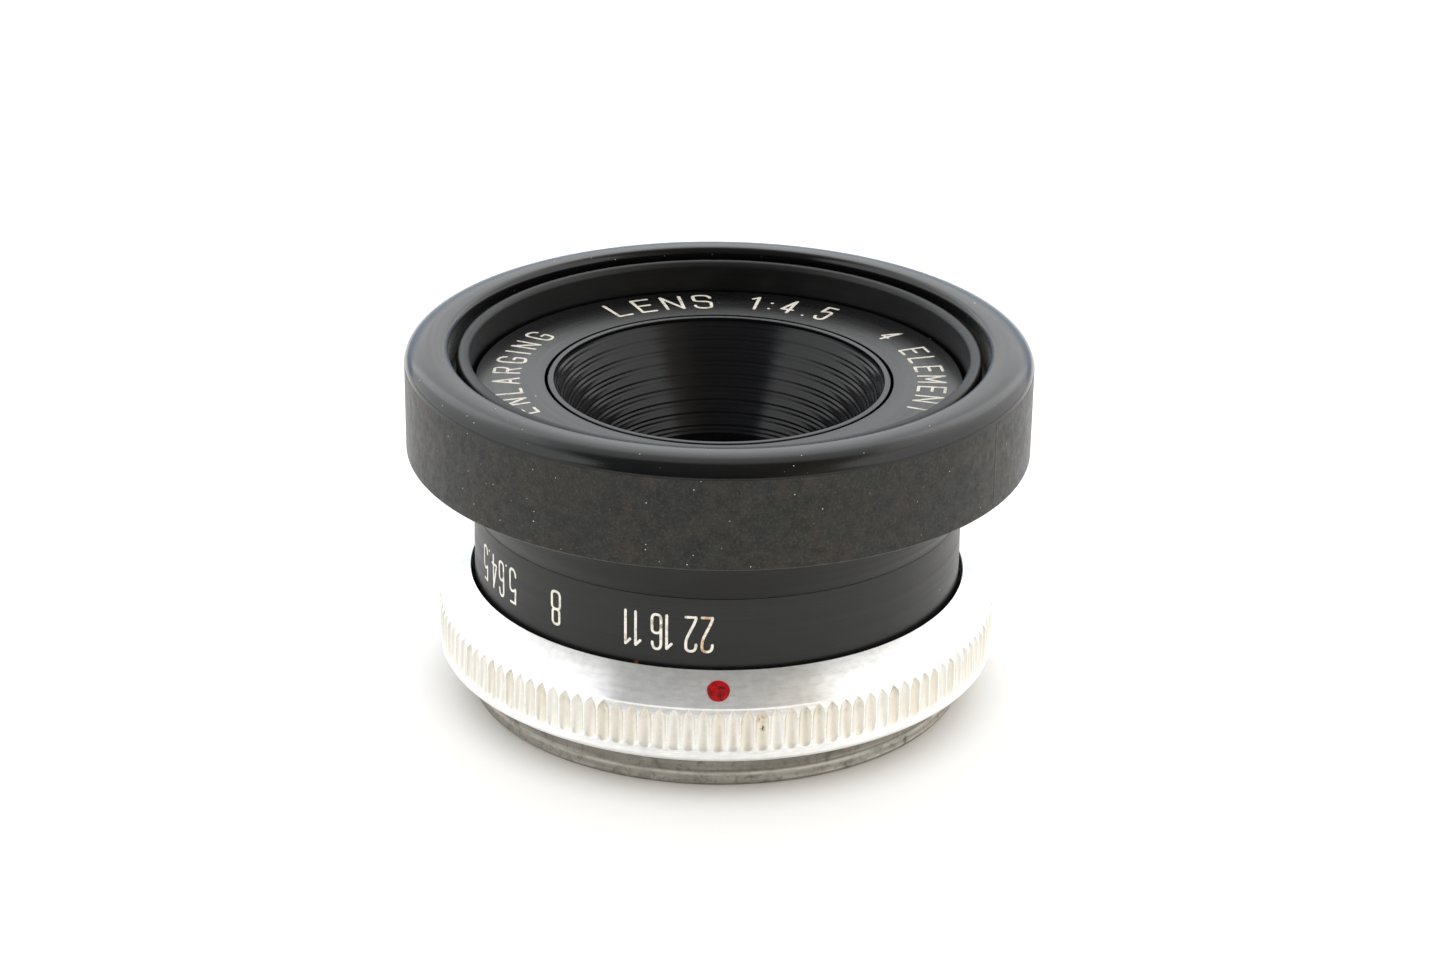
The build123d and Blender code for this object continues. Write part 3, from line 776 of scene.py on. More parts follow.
@dataclass
class Engraving:
    """Writing engraved with a round tool and filled with paint.

    Fields: height of a letter, width of the tool, gap between letters as a share of the height,
    how much the letters are stretched sideways and how far the paint stands proud, in millimetres.
    """

    height: float
    stroke: float
    gap: float = 0.2
    stretch: float = 1.0
    relief: float = 0.012
    form: bmesh.types.BMesh = field(default_factory=bmesh.new)

    def starts(self, text: str) -> list[float]:
        """Where each letter starts along the line, and at last where the line ends."""
        at = [0.0]
        for letter in text:
            wide = WORD_GAP
            if letter in GLYPHS:
                wide = max(p[0] for stroke in GLYPHS[letter] for p in stroke.points) * self.stretch
            at.append(at[-1] + (wide + self.gap) * self.height)
        at[-1] -= self.gap * self.height
        return at

    def write(self, text: str, wrap: Callable[[float, float, float], Vector]) -> None:
        """Adds a line of writing, centred, bent onto a surface.

        Args:
            text: The writing.
            wrap: Takes a place along the line, up the letter and out of the surface, all in
                millimetres from the middle of the line, to a point in space.
        """
        starts = self.starts(text)
        shift = Vector((-starts[-1] / 2, -self.height / 2, 0))
        for letter, start in zip(text, starts):
            for stroke in GLYPHS.get(letter, ()):
                for v in self.cut(stroke, shift + Vector((start, 0, 0))):
                    v.co = wrap(v.co.x, v.co.y, v.co.z * self.relief / (self.stroke / 2))

    def cut(self, stroke: Stroke, origin: Vector) -> list[bmesh.types.BMVert]:
        """Adds one stroke as a round bead with round ends.

        Args:
            stroke: The stroke.
            origin: Where the letter's lower left corner is.

        Returns:
            The new vertices.
        """
        points = [origin + Vector((x * self.height * self.stretch, y * self.height, 0))
                  for x, y in stroke.points]
        already = len(self.form.verts)
        curve = bpy.data.curves.new("stroke", "CURVE")
        curve.dimensions = "3D"
        curve.bevel_depth = self.stroke / 2
        curve.bevel_resolution = 2
        curve.use_fill_caps = True
        runs = [points] if stroke.curved else list(zip(points, points[1:]))
        for run in runs:
            spline = curve.splines.new("NURBS" if stroke.curved else "POLY")
            spline.points.add(len(run) - 1)
            for target, point in zip(spline.points, run):
                target.co = (*point, 1.0)
            spline.use_cyclic_u = stroke.closed
            if stroke.curved:
                spline.order_u = 3
                spline.use_endpoint_u = not stroke.closed
                spline.resolution_u = 8
        holder = bpy.data.objects.new("stroke", curve)
        bead = bpy.data.meshes.new_from_object(holder)
        self.form.from_mesh(bead)
        bpy.data.objects.remove(holder)
        bpy.data.meshes.remove(bead)
        ends = [] if stroke.closed else [points[0], points[-1]] if stroke.curved else points
        for end in ends:
            bmesh.ops.create_icosphere(self.form, subdivisions=2, radius=self.stroke / 2,
                                       matrix=Matrix.Translation(end))
        self.form.verts.ensure_lookup_table()
        return self.form.verts[already:]


# ---- the lens, from the thread to the front --------------------------------------------------

@dataclass
class ScrewMount:
    """Thread ring, fluted silver ring and red index dot: everything under the aperture sleeve.

    `flank` is where a thread's flank starts and ends, as shares of the pitch.  `ledge` is how far
    the ledge over the flutes is set back and how far it rises.  `rows` places the mesh's rings
    over a flute's run-out, and `dot_domes` is the width and rise of each step of the dot's dome.
    """

    thread: Ring = field(default_factory=lambda: Ring.of("mount_thread_ring"))
    silver: Ring = field(default_factory=lambda: Ring.of("knurled_flange"))
    flutes: Flutes = Flutes()
    bore_radius: float = 15.05
    pitch: float = 1.0
    thread_relief: float = 0.055
    thread_steps: int = 160
    crest_rounding: float = 0.03
    flank: tuple[float, float] = (0.22, 0.42)
    end_chamfer: float = 0.25
    neck_radius: float = 16.42
    seat_radius: float = 21.2
    seat_chamfer: float = 0.45
    bowl_radius: float = 19.34
    bowl_floor: float = 4.8
    cone_foot: float = 7.62
    cone_set_back: float = 0.09
    ledge: tuple[float, float] = (0.10, 0.07)
    columns: int = 6
    ridge_columns: int = 1
    flute_run_out: tuple[float, float] = (0.52, 0.80)
    flute_half_width: float = 0.46
    flute_depth: float = 0.22
    depth_run_out: float = 1.3
    narrowest_foot: float = 0.12
    narrowest_tip: float = 0.05
    rows: tuple[float, ...] = (0.0, 0.14, 0.32, 0.55, 1.0)
    dot_radius: float = 0.85
    dot_height: float = 8.55
    dot_domes: tuple[tuple[float, float], ...] = ((0.16, 0.028), (0.30, 0.012))
    dot_skirt: float = 0.06

    def build(self) -> None:
        """Makes the three pieces."""
        deliver(self.thread_form(), Fitting("thread_ring", Body.FIXED, Slot.THREAD,
                                            ("mount_thread_ring",)), RawThreadMetal().build())
        deliver(self.silver_form(), Fitting("silver_ring", Body.FIXED, Slot.ALUMINIUM,
                                            ("knurled_flange",)),
                BrushedAluminium(self.flutes, self.silver.radius).build())
        deliver(self.dot_form(), Fitting("index_dot_enamel", Body.FIXED, Slot.RED,
                                         ("index_dot",)), RedEnamel().build())

    def thread_form(self) -> bmesh.types.BMesh:
        """Winds a shallow worn thread, trims it flat at both ends and closes it round the bore.

        Returns:
            The thread ring.
        """
        bm = bmesh.new()
        steps = self.thread_steps
        crest, root = self.thread.radius, self.thread.radius - self.thread_relief
        shoulder = crest - self.crest_rounding
        start, end = self.flank
        section = [(root, 0.0), (root, start), (shoulder, end), (crest, 0.5),
                   (shoulder, 1 - end), (root, 1 - start), (root, 1.0)]
        turns = math.ceil((self.thread.top - self.thread.foot) / self.pitch) + 2
        points = [bm.verts.new((r, 0.0, (share - 1.0) * self.pitch)) for r, share in section]
        for first, second in zip(points, points[1:]):
            bm.edges.new((first, second))
        bmesh.ops.spin(bm, geom=bm.verts[:] + bm.edges[:], cent=(0, 0, 0), axis=(0, 0, 1),
                       dvec=(0, 0, self.pitch / steps), angle=math.tau * turns,
                       steps=steps * turns, use_merge=False, use_duplicate=False)
        bmesh.ops.remove_doubles(bm, verts=bm.verts, dist=MERGE)
        for height, up in ((self.thread.foot, -1), (self.thread.top, 1)):
            bmesh.ops.bisect_plane(bm, geom=bm.verts[:] + bm.edges[:] + bm.faces[:], dist=1e-5,
                                   plane_co=(0, 0, height), plane_no=(0, 0, up),
                                   clear_outer=True)
        for v in bm.verts:
            limit = crest - self.end_chamfer + v.co.z - self.thread.foot
            r = math.hypot(v.co.x, v.co.y)
            v.co.xy *= min(r, limit) / r
        rims = [e for e in bm.edges if e.is_boundary]
        added = bmesh.ops.extrude_edge_only(bm, edges=rims)["geom"]
        for v in (e for e in added if isinstance(e, bmesh.types.BMVert)):
            v.co.xy *= self.bore_radius / math.hypot(v.co.x, v.co.y)
        inner = [e for e in added if isinstance(e, bmesh.types.BMEdge) and e.is_boundary]
        bmesh.ops.bridge_loops(bm, edges=inner)
        bmesh.ops.recalc_face_normals(bm, faces=bm.faces)
        return bm

    def silver_form(self) -> bmesh.types.BMesh:
        """Turns the bowl-shaped ring and presses its flutes into the rim.

        Returns:
            The silver ring.
        """
        rim, seat, top = self.silver.radius, self.silver.foot, self.silver.top
        flutes, (set_back, rise) = self.flutes, self.ledge
        foot_run, top_run = self.flute_run_out
        heights = [flutes.foot + row * foot_run for row in self.rows]
        heights += [(flutes.foot + flutes.top) / 2]
        heights += [flutes.top - row * top_run for row in reversed(self.rows)]
        corners = [Corner(self.neck_radius, seat, 0.1), Corner(self.seat_radius, seat, 0.05),
                   Corner(rim, seat + self.seat_chamfer, 0.2)]
        corners += [Corner(rim - self.rim_set_back(z), z) for z in heights]
        corners += [Corner(rim - set_back, flutes.top + rise, 0.03),
                    Corner(rim - self.cone_set_back, self.cone_foot, 0.05),
                    Corner(self.bowl_radius, top, 0.06), Corner(self.bowl_radius, self.bowl_floor),
                    Corner(self.neck_radius, self.bowl_floor, 0.1)]
        steps = flutes.count * (self.columns + self.ridge_columns)
        bm = Turning(corners, steps=steps, rounding_steps=3).form()
        pitch = math.tau / flutes.count
        half_flute = pitch * self.columns / (self.columns + self.ridge_columns) / 2
        bmesh.ops.rotate(bm, verts=bm.verts, cent=(0, 0, 0),
                         matrix=Matrix.Rotation(-math.pi / 2 + half_flute, 3, "Z"))
        for v in bm.verts:
            if flutes.foot - MERGE < v.co.z < flutes.top + MERGE:
                if math.hypot(v.co.x, v.co.y) > self.seat_radius:
                    self.press(v, pitch)
        bmesh.ops.recalc_face_normals(bm, faces=bm.faces)
        return bm

    def rim_set_back(self, z: float) -> float:
        """How far the rim leans in between the arched tops of the flutes."""
        f = self.flutes
        return f.lean * max(0.0, z - f.lean_from) / (f.top - f.lean_from)

    def press(self, v: bmesh.types.BMVert, pitch: float) -> None:
        """Moves a vertex of the rim to the pressed shape of its flute.

        Args:
            v: The vertex.
            pitch: Angle from one flute to the next.
        """
        angle = math.atan2(v.co.x, -v.co.y)
        number = round(angle / pitch)
        along = (angle - number * pitch) / pitch
        nominal = self.columns / (self.columns + self.ridge_columns) / 2
        foot_run, top_run = self.flute_run_out
        into_foot = min(1.0, (v.co.z - self.flutes.foot) / foot_run)
        into_depth = min(1.0, (v.co.z - self.flutes.foot) / self.depth_run_out)
        into_top = min(1.0, (self.flutes.top - v.co.z) / top_run)
        rounded = math.sqrt(max(0.0, 1 - (1 - into_foot) ** 2))
        pointed = 1 - (1 - self.narrowest_tip) * (1 - into_top) ** 2.2
        deep = self.flute_depth * (1 - (1 - into_depth) ** 2) * (1 - (1 - into_top) ** 3)
        half = self.flute_half_width * max(self.narrowest_foot, rounded) * pointed
        share = along / nominal
        r = math.hypot(v.co.x, v.co.y)
        if abs(share) <= 1 + 1e-6:
            share = math.copysign(min(1.0, abs(share)) ** 0.7, share)
            placed = share * half
            depth = deep * (1 - share ** 4)
        else:
            rest = (abs(along) - nominal) / (0.5 - nominal)
            placed = math.copysign(half + rest * (0.5 - half), along)
            depth = 0.0
        angle = (number + placed) * pitch
        v.co.x = (r - depth) * math.sin(angle)
        v.co.y = -(r - depth) * math.cos(angle)

    def dot_form(self) -> bmesh.types.BMesh:
        """Lays the enamel dot on the cone, slightly domed and slightly out of round.

        Returns:
            The dot.
        """
        drop = Vector((self.silver.radius - self.bowl_radius, self.silver.top - self.cone_foot))
        reach = self.silver.radius - (self.dot_height - self.cone_foot) * drop.x / drop.y
        tilt = math.atan2(drop.x, drop.y)
        bm = bmesh.new()
        bmesh.ops.create_circle(bm, cap_ends=True, segments=64, radius=self.dot_radius)
        for v in bm.verts:
            turn = math.atan2(v.co.y, v.co.x)
            v.co *= 0.985 + 0.012 * math.sin(3 * turn + 0.7) + 0.010 * math.sin(5 * turn)
        for width, rise in self.dot_domes:
            bmesh.ops.inset_region(bm, faces=bm.faces[:1], thickness=width, depth=rise)
        floor = [e for e in bm.edges if e.is_boundary]
        skirt = bmesh.ops.extrude_edge_only(bm, edges=floor)["geom"]
        down = [e for e in skirt if isinstance(e, bmesh.types.BMVert)]
        bmesh.ops.translate(bm, verts=down, vec=(0, 0, -self.dot_skirt))
        bmesh.ops.holes_fill(bm, edges=[e for e in bm.edges if e.is_boundary], sides=0)
        bmesh.ops.rotate(bm, verts=bm.verts, cent=(0, 0, 0),
                         matrix=Matrix.Rotation(math.pi / 2 - tilt, 3, "X"))
        bmesh.ops.translate(bm, verts=bm.verts, vec=(0, -reach, self.dot_height))
        bmesh.ops.recalc_face_normals(bm, faces=bm.faces)
        return bm


@dataclass
class ApertureSleeve:
    """The turning sleeve with its engraved aperture numbers, each with its bearing in degrees.

    `stain` is the brown stain at the sleeve's foot: bearing, half width, rise and half height.
    """

    sleeve: Ring = field(default_factory=lambda: Ring.of("scale_sleeve"))
    bore_radius: float = 17.80
    neck_radius: float = 18.6
    seam: float = 15.2
    number_height: float = 12.33
    numbers: tuple[tuple[str, float], ...] = (("22", -4.40), ("16", -12.79), ("11", -19.49),
                                              ("8", -39.64), ("5.6", -57.22), ("4.5", -66.38))
    stain: tuple[float, float, float, float] = (-18.25, 1.1, 4.3, 0.5)

    def build(self) -> None:
        """Makes the sleeve and its numbers."""
        bearing, half_width, rise, half_height = self.stain
        finish = TurnedBlack("satin_black_sleeve", gloss=(0.34, 0.46), stain_band=(
            bearing, half_width, self.sleeve.foot + rise, half_height))
        deliver(self.form(), Fitting("aperture_sleeve", Body.APERTURE, Slot.SATIN,
                                     ("scale_sleeve",)), finish.build())
        deliver(self.number_form(), Fitting("aperture_numbers", Body.APERTURE, Slot.FILL),
                PaintFill("number_paint", rust_bearing=-2.95).build(), sharp_above=60)

    def form(self) -> bmesh.types.BMesh:
        """Turns the sleeve."""
        s = self.sleeve
        return Turning([Corner(self.bore_radius, s.foot, 0.1), Corner(s.radius, s.foot, 0.12),
                        Corner(s.radius, self.seam, 0.03), Corner(self.neck_radius, self.seam, 0.02),
                        Corner(self.neck_radius, s.top, 0.1),
                        Corner(self.bore_radius, s.top, 0.1)]).form()

    def number_form(self) -> bmesh.types.BMesh:
        """Engraves the numbers, which read with the lens hanging front side down.

        Returns:
            All numbers in one mesh.
        """
        engraving = Engraving(height=2.7, stroke=0.21, gap=0.16, stretch=0.84)
        for text, bearing in self.numbers:
            middle = math.radians(bearing)

            def wrap(x: float, y: float, out: float) -> Vector:
                """Bends a place on the upside-down line onto the sleeve."""
                turn = middle - x / self.sleeve.radius
                r = self.sleeve.radius + out
                return Vector((r * math.sin(turn), -r * math.cos(turn), self.number_height - y))

            engraving.write(text, wrap)
        bmesh.ops.recalc_face_normals(engraving.form, faces=engraving.form.faces)
        return engraving.form


@dataclass
class Grip:
    """The moulded grip ring on its black carrier.

    `flash` is how far the moulding's parting line stands out, in a `flash_band` that starts below
    the line and ends above it.
    """

    carrier: Ring = field(default_factory=lambda: Ring.of("grip_carrier"))
    grip: Ring = field(default_factory=lambda: Ring.of("grip_ring"))
    neck_radius: float = 18.62
    sleeve_radius: float = 19.0
    flare_top: float = 19.6
    lip_foot: float = 25.6
    lip_radius: float = 20.17
    lip_bore: float = 19.1
    undercut_radius: float = 19.45
    undercut: tuple[float, float] = (23.3, 25.1)
    barrel_gap_radius: float = 18.04
    step_height: float = 22.5
    bore_radius: float = 20.75
    edge_radius: float = 1.2
    edge_reach: float = 2.2
    edge_rows: int = 14
    flash: float = 0.03
    flash_band: tuple[float, float] = (0.04, 0.02)

    def build(self) -> None:
        """Makes the carrier and the grip ring."""
        deliver(self.carrier_form(), Fitting("lip_and_flare", Body.APERTURE, Slot.SATIN,
                                             ("grip_carrier",)),
                TurnedBlack("satin_black_lip", gloss=(0.34, 0.46), dust=0.03,
                            specular=0.3).build())
        deliver(self.grip_form(), Fitting("moulded_grip", Body.APERTURE, Slot.GRIP,
                                          ("grip_ring",)), GripMoulding().build())

    def carrier_form(self) -> bmesh.types.BMesh:
        """Turns the flared carrier with its thin front lip."""
        c = self.carrier
        return Turning([
            Corner(self.neck_radius, c.foot, 0.05), Corner(self.sleeve_radius, c.foot, 0.03),
            Corner(c.radius, self.flare_top, 0.3), Corner(c.radius, self.lip_foot, 0.05),
            Corner(self.lip_radius, self.lip_foot), Corner(self.lip_radius, c.top, 0.5),
            Corner(self.lip_bore, c.top, 0.45), Corner(self.lip_bore, self.undercut[1], 0.04),
            Corner(self.undercut_radius, self.undercut[1], 0.04),
            Corner(self.undercut_radius, self.undercut[0], 0.04),
            Corner(self.barrel_gap_radius, self.undercut[0], 0.05),
            Corner(self.barrel_gap_radius, self.step_height, 0.05),
            Corner(self.neck_radius, self.step_height, 0.05)]).form()

    def grip_form(self) -> bmesh.types.BMesh:
        """Turns the grip: plain wall, a thin line of flash, then the big polished rounding."""
        g = self.grip
        below, above = self.flash_band
        line_height = g.top - self.edge_radius
        inside = g.radius - self.flash
        rise = self.edge_radius - above
        rounding = []
        for step in range(self.edge_rows + 1):
            turn = math.pi / 2 * step / self.edge_rows
            rounding.append(Corner(inside - self.edge_reach * (1 - math.cos(turn)),
                                   g.top - rise * (1 - math.sin(turn))))
        return Turning([
            Corner(self.bore_radius, g.foot, 0.2), Corner(g.radius, g.foot, 0.22),
            Corner(g.radius, line_height - below), Corner(g.radius, line_height), *rounding,
            Corner(self.bore_radius, g.top, 0.5)], steps=256, rounding_steps=6).form()


@dataclass(frozen=True)
class Legend:
    """A line of writing on the name ring: its bearing, letter height, tool width and letter gap."""

    text: str
    bearing: float
    height: float
    stroke: float
    gap: float


@dataclass
class FrontGroup:
    """Name ring with its lettering, the ridged hood and the front glass."""

    name_ring: Ring = field(default_factory=lambda: Ring.of("name_ring"))
    hood: Ring = field(default_factory=lambda: Ring.of("front_hood"))
    glass: Ring = field(default_factory=lambda: Ring.of("front_element"))
    name_bore: float = 13.42
    name_foot: float = 23.5
    spigot: tuple[float, float, float] = (15.2, 16.88, 22.1)
    mouth_radius: float = 12.74
    throat_radius: float = 8.2
    throat_height: float = 17.0
    ridges: int = 26
    ridge_depth: float = 0.024
    rim_flat: float = 0.3
    throat_length: float = 1.1
    back_shoulder: float = 20.7
    tail_shoulder: tuple[float, float] = (9.2, 16.3)
    tail_radius: float = 9.1
    tail_wall: float = 0.3
    letter_radius: float = 16.4
    legends: tuple[Legend, ...] = (Legend("ENLARGING", -92.0, 1.95, 0.24, 0.58),
                                   Legend("LENS 1:4.5", 179.0, 2.65, 0.27, 0.40),
                                   Legend("4 ELEMENT", 95.5, 2.05, 0.24, 0.48))
    glass_curves: tuple[float, float] = (200.0, 24.0)
    glass_faces: tuple[float, float] = (13.7, 16.9)
    glass_rows: int = 10
    polished_radius: float = 8.5

    def build(self) -> None:
        """Makes the pieces from the name ring inwards."""
        deliver(self.name_form(), Fitting("name_ring_face", Body.FIXED, Slot.NAME_RING,
                                          ("name_ring",)),
                TurnedBlack("name_ring_satin", black=tone(12, 12, 12), rubbed=tone(26, 26, 26),
                            gloss=(0.24, 0.33), ring_depth=0.002, dust=0.02).build())
        deliver(self.letter_form(), Fitting("name_ring_lettering", Body.FIXED, Slot.FILL),
                PaintFill("letter_paint", white=tone(206, 201, 188),
                          worn=tone(140, 134, 120)).build(), sharp_above=60)
        deliver(self.hood_form(), Fitting("ridged_hood", Body.FIXED, Slot.HOOD, ("front_hood",)),
                TurnedBlack("gloss_black_hood", black=tone(8, 8, 10), rubbed=tone(22, 23, 26),
                            gloss=(0.14, 0.24), rings=0.4, dust=0.0, specular=0.28).build(),
                sharp_above=8)
        deliver(self.glass_form(), Fitting("front_glass", Body.FIXED, Slot.GLASS,
                                           ("front_element",)), CoatedGlass().build())

    def name_form(self) -> bmesh.types.BMesh:
        """Turns the name ring with its spigot."""
        n = self.name_ring
        inner, outer, foot = self.spigot
        return Turning([Corner(self.name_bore, self.name_foot), Corner(self.name_bore, n.top, 0.06),
                        Corner(n.radius, n.top, 0.15), Corner(n.radius, self.name_foot, 0.05),
                        Corner(outer, self.name_foot), Corner(outer, foot, 0.05),
                        Corner(inner, foot, 0.05), Corner(inner, self.name_foot)]).form()

    def letter_form(self) -> bmesh.types.BMesh:
        """Engraves the ring's writing, tops outwards, clockwise as seen from the front.

        Returns:
            All writing in one mesh.
        """
        written = bmesh.new()
        for legend in self.legends:
            middle = math.radians(legend.bearing)

            def wrap(x: float, y: float, out: float) -> Vector:
                """Bends a place on the line round the name ring's face."""
                turn = middle - x / self.letter_radius
                r = self.letter_radius + y
                return Vector((r * math.sin(turn), -r * math.cos(turn), self.name_ring.top + out))

            engraving = Engraving(legend.height, legend.stroke, legend.gap, form=written)
            engraving.write(legend.text, wrap)
        bmesh.ops.recalc_face_normals(written, faces=written.faces)
        return written

    def hood_form(self) -> bmesh.types.BMesh:
        """Turns the hood: a flat rim and a finely ridged cone that keeps glare off the glass."""
        h = self.hood
        rise = (h.top - self.rim_flat - self.throat_height) / self.ridges
        spread = (self.mouth_radius - self.throat_radius) / self.ridges
        wall = [Corner(self.throat_radius, self.throat_height - self.throat_length),
                Corner(self.throat_radius, self.throat_height)]
        for ridge in range(self.ridges):
            r = self.throat_radius + ridge * spread
            z = self.throat_height + ridge * rise
            cut = self.ridge_depth * (1 + 0.5 * math.sin(2.1 * ridge))
            wall += [Corner(r + spread * 0.5 + cut, z + rise * 0.5), Corner(r + spread, z + rise)]
        return Turning(wall + [
            Corner(self.mouth_radius, h.top, 0.05), Corner(h.radius, h.top, 0.08),
            Corner(h.radius, self.back_shoulder), Corner(*self.tail_shoulder),
            Corner(self.tail_radius, h.foot), Corner(self.throat_radius + self.tail_wall, h.foot)],
            rounding_steps=2).form()

    def glass_form(self) -> bmesh.types.BMesh:
        """Turns the front element: two polished faces and a ground rim."""
        back_curve, front_curve = self.glass_curves
        back, front = self.glass_faces
        reach, rows = self.polished_radius, self.glass_rows

        def sag(curve: float, r: float) -> float:
            """Depth of a spherical face at a radius."""
            return curve - math.sqrt(curve * curve - r * r)

        across = [reach * i / rows for i in range(rows + 1)]
        rear = [Corner(r, back + sag(back_curve, r)) for r in across]
        face = [Corner(r, front - sag(front_curve, r)) for r in reversed(across)]
        rim = [Corner(self.glass.radius, edge.z, 0.05) for edge in (rear[-1], face[0])]
        return Turning(rear + rim + face, closed=False, steps=128, rounding_steps=2).form()


@dataclass
class HiddenWorks:
    """CAD parts that keep their own meshes: barrel, cells, glass, iris and small hardware."""

    blades: int = 8

    def build(self) -> None:
        """Gives each part its finish."""
        anodised = TurnedBlack("black_anodised_barrel", black=tone(24, 24, 25), gloss=(0.34, 0.5))
        dress(anodised.build(), "lens_barrel", "rear_cell", "rear_retaining_ring", "front_cell",
              "element_spacer", "iris_pivot_plate", "iris_retaining_ring")
        dress(CoatedGlass("coated_glass_inner").build(), "second_element", "rear_outer_element",
              "rear_inner_element")
        dress(PlainMetal("friction_brass", tone(196, 158, 92), tone(146, 108, 54)).build(),
              "friction_washer", "iris_drive_ring")
        dress(PlainMetal("screw_steel", tone(170, 172, 174), tone(96, 98, 102)).build(),
              "drive_screw", "carrier_grub_screws")
        dress(PlainMetal("blued_blades", tone(66, 68, 78), tone(38, 38, 44), (0.32, 0.5)).build(),
              *[f"iris_blade_{number + 1}" for number in range(self.blades)])


# ---- studio ----------------------------------------------------------------------------------

@dataclass(frozen=True)
class SoftBox:
    """A large diffused lamp. Places and sizes are in metres, its brightness is relative to white."""

    name: str
    place: tuple[float, float, float]
    width: float
    height: float
    brightness: float
    colour: tuple[float, float, float]
    aim: tuple[float, float, float] = (0.0, 0.0, 0.015)
    glossy: bool = True

    def build(self) -> None:
        """Hangs the lamp, aimed at the lens."""
        lamp = bpy.data.lights.new(self.name, "AREA")
        lamp.shape = "RECTANGLE"
        lamp.size, lamp.size_y = self.width, self.height
        lamp.energy = self.brightness * math.pi * self.width * self.height
        lamp.color = self.colour
        holder = bpy.data.objects.new(self.name, lamp)
        bpy.context.scene.collection.objects.link(holder)
        holder.location = self.place
        toward = Vector(self.aim) - Vector(self.place)
        holder.rotation_euler = toward.to_track_quat("-Z", "Y").to_euler()
        holder.visible_camera = False
        holder.visible_glossy = self.glossy


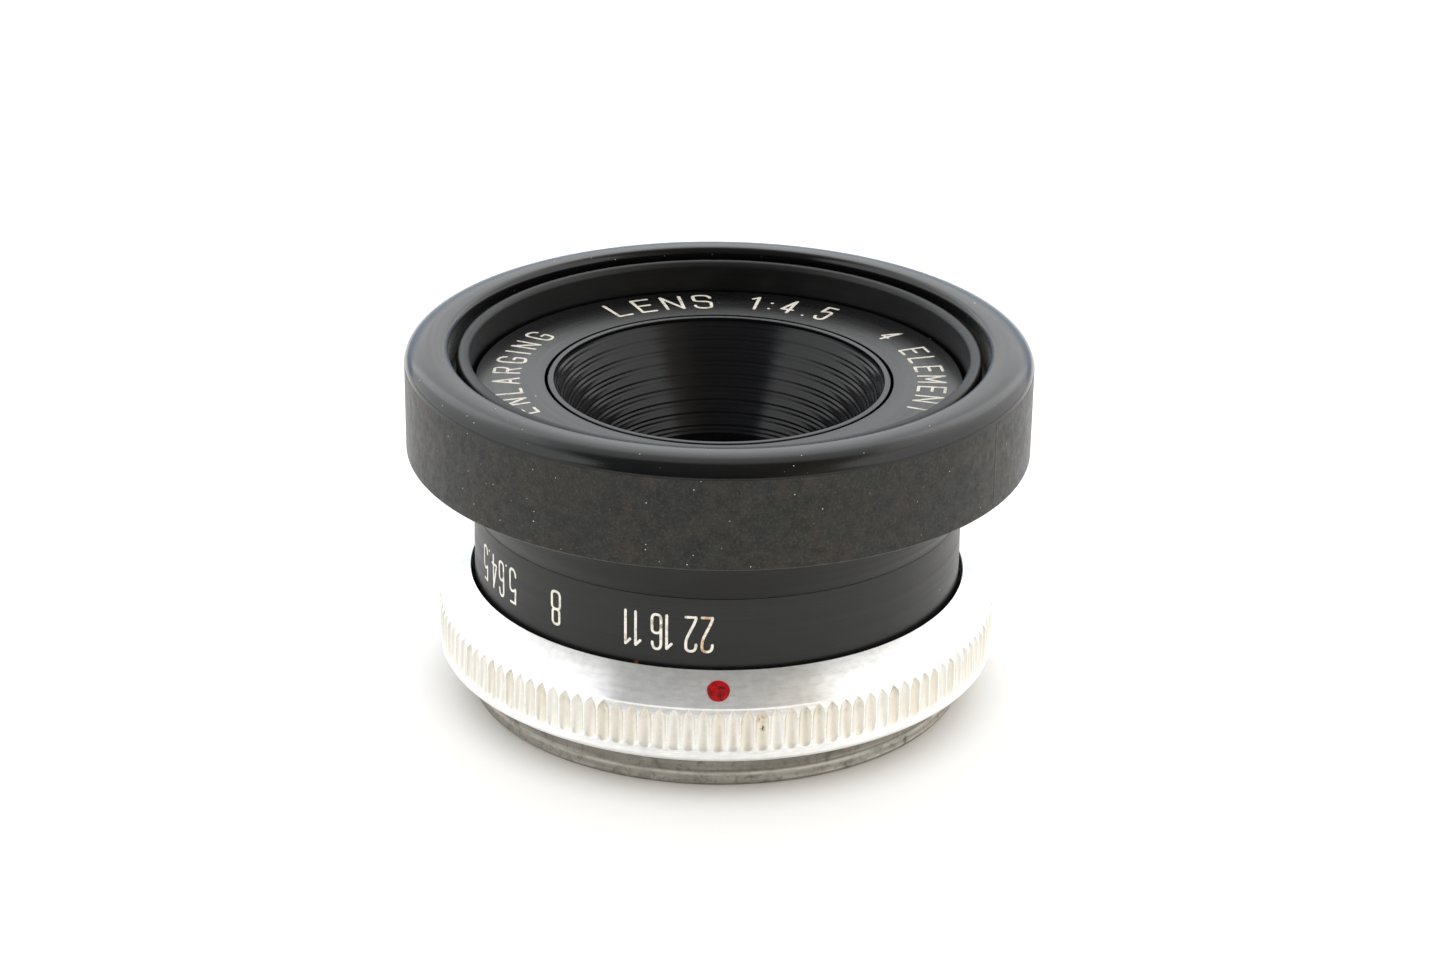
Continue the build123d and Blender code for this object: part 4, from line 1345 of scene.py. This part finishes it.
@dataclass
class Studio:
    """White table, soft lamps, a dark arch over the camera side, a far card and the camera.

    Lengths are in metres and angles in degrees.  The arch is half as wide as `arch_half_width`
    times its radius, at the floor and at its height.  Its glow grows from the floor upwards.
    """

    floor_radius: float = 4.0
    floor_gap: float = 0.02 * MM
    arch_radius: float = 1.1
    arch_from: float = -4.0
    arch_to: float = 108.0
    arch_steps: int = 24
    arch_half_width: tuple[float, float] = (1.0, 0.66)
    arch_glow: tuple[float, float] = (0.12, 0.25)
    arch_spill: float = 0.5
    arch_cool: tuple = (0.86, 0.90, 1.0, 1.0)
    arch_warm: tuple = (1.0, 0.90, 0.76, 1.0)
    card_size: tuple[float, float] = (1.8, 0.3)
    card_height: float = 0.15
    card_low: tuple = (0.42, 0.60, 0.85, 1.0)
    card_high: tuple = (0.75, 0.88, 1.0, 1.0)
    lens: float = 85.65
    elevation: float = 23.63
    distance: float = 0.26816
    target: tuple[float, float, float] = (0.000362, 0.0, 0.01635)
    roll: float = 0.774
    azimuth: float = -0.75
    film_width: float = 36.0
    clip: tuple[float, float] = (0.01, 20.0)
    lamps: tuple[SoftBox, ...] = (
        SoftBox("left_softbox", (-0.82, 0.17, 0.57), 2.2, 1.15, 1.0, (0.97, 0.985, 1.0)),
        SoftBox("right_softbox", (0.82, 0.17, 0.57), 2.2, 1.15, 1.0, (1.0, 0.99, 0.97)),
        SoftBox("back_softbox", (0.0, 1.0, 0.55), 1.4, 0.8, 0.8, (0.95, 0.98, 1.0)),
        SoftBox("warm_fill", (0.55, -0.8, 0.4), 0.5, 0.5, 2.4, (1.0, 0.88, 0.72), glossy=False))

    def build(self) -> None:
        """Sets the stage."""
        self.table()
        self.arch()
        self.far_card()
        self.surroundings()
        for lamp in self.lamps:
            lamp.build()
        self.camera()

    def table(self) -> None:
        """Lays the white table top just under the lens."""
        bm = bmesh.new()
        bmesh.ops.create_circle(bm, cap_ends=True, segments=96, radius=self.floor_radius)
        bmesh.ops.translate(bm, verts=bm.verts, vec=(0.0, 0.0, -self.floor_gap))
        self.stand("table_top", bm, PaleFloor().build())

    def arch(self) -> None:
        """Hangs the unlit side of the room as a dark arch from the front floor to overhead."""
        g = Graph("unlit_room")
        low, high = self.arch_glow
        glow = g.span(g.axes[2], 0.1, self.arch_radius, low, high)
        across = g.span(g.axes[0], -0.35, 0.35)
        spill = g.span(g.axes[0], 0.25, 0.75, 0.0, self.arch_spill)
        g.set(Base_Color=BLACK, Roughness=1.0, Emission_Strength=g.math("ADD", glow, spill),
              Emission_Color=g.mix(across, self.arch_cool, self.arch_warm))
        bm = bmesh.new()
        ends = [bm.verts.new((end, -self.arch_radius, 0.0)) for end in (-1.0, 1.0)]
        bm.edges.new(ends)
        bmesh.ops.rotate(bm, verts=bm.verts, cent=(0, 0, 0),
                         matrix=Matrix.Rotation(-math.radians(self.arch_from), 3, "X"))
        bmesh.ops.spin(bm, geom=bm.verts[:] + bm.edges[:], cent=(0, 0, 0), axis=(-1, 0, 0),
                       angle=math.radians(self.arch_to - self.arch_from), steps=self.arch_steps,
                       use_merge=False, use_duplicate=False)
        wide, narrow = self.arch_half_width
        for v in bm.verts:
            share = min(1.0, max(0.0, v.co.z / self.arch_radius))
            v.co.x *= (wide + (narrow - wide) * share) * self.arch_radius
        flag = self.stand("dark_arch", bm, g.material)
        flag.visible_camera = flag.visible_diffuse = flag.visible_shadow = False

    def far_card(self) -> None:
        """Stands a low blue-grey card far behind the lens, for the sheen on its rear edge."""
        g = Graph("blue_card")
        g.set(Base_Color=BLACK, Roughness=1.0, Emission_Strength=1.0,
              Emission_Color=g.mix(g.span(g.axes[2], 0.05, 0.28), self.card_low, self.card_high))
        bm = bmesh.new()
        bmesh.ops.create_grid(bm, x_segments=8, y_segments=4, size=0.5)
        bmesh.ops.scale(bm, vec=(*self.card_size, 1.0), verts=bm.verts)
        bmesh.ops.rotate(bm, verts=bm.verts, cent=(0, 0, 0),
                         matrix=Matrix.Rotation(math.pi / 2, 3, "X"))
        bmesh.ops.translate(bm, verts=bm.verts, vec=(0.0, self.arch_radius, self.card_height))
        card = self.stand("far_card", bm, g.material)
        card.visible_camera = card.visible_diffuse = card.visible_shadow = False

    def stand(self, name: str, form: bmesh.types.BMesh,
              material: bpy.types.Material) -> bpy.types.Object:
        """Puts up a piece of the stage, which isn't part of the lens.

        Args:
            name: Its name.
            form: Its mesh in metres, freed afterwards.
            material: Its finish.

        Returns:
            The object.
        """
        mesh = bpy.data.meshes.new(name)
        form.to_mesh(mesh)
        form.free()
        mesh.materials.append(material)
        made = bpy.data.objects.new(name, mesh)
        bpy.context.scene.collection.objects.link(made)
        return made

    def surroundings(self) -> None:
        """Surrounds the table with even white light and shows colours as they are."""
        world = bpy.data.worlds.new("white_room")
        world.use_nodes = True
        background = world.node_tree.nodes["Background"]
        background.inputs["Color"].default_value = (0.985, 0.992, 1.0, 1.0)
        background.inputs["Strength"].default_value = 1.0
        world.cycles.sampling_method = "NONE"
        scene = bpy.context.scene
        scene.world = world
        scene.view_settings.view_transform = "Standard"

    def camera(self) -> None:
        """Sets up the camera, looking slightly down at the lens from the index dot's side."""
        tilt, roll = math.radians(self.elevation), math.radians(self.roll)
        turn = Matrix.Rotation(math.radians(self.azimuth), 3, "Z")
        ahead = turn @ Vector((0, math.cos(tilt), -math.sin(tilt)))
        level, up = turn @ Vector((1, 0, 0)), turn @ Vector((0, math.sin(tilt), math.cos(tilt)))
        right = level * math.cos(roll) + up * math.sin(roll)
        top = up * math.cos(roll) - level * math.sin(roll)
        eye = turn @ Vector(self.target) - ahead * self.distance
        data = bpy.data.cameras.new("camera")
        data.lens, data.sensor_width = self.lens, self.film_width
        data.clip_start, data.clip_end = self.clip
        holder = bpy.data.objects.new("camera", data)
        bpy.context.scene.collection.objects.link(holder)
        holder.matrix_world = Matrix((
            (right.x, top.x, -ahead.x, eye.x), (right.y, top.y, -ahead.y, eye.y),
            (right.z, top.z, -ahead.z, eye.z), (0, 0, 0, 1)))
        bpy.context.scene.camera = holder


def main() -> None:
    """Builds the lens and its studio."""
    logging.basicConfig(level=logging.INFO, format="%(message)s")
    for assembly in (ScrewMount(), ApertureSleeve(), Grip(), FrontGroup(), HiddenWorks(), Studio()):
        log.info("%s", type(assembly).__name__)
        assembly.build()


if __name__ == "__main__":
    main()
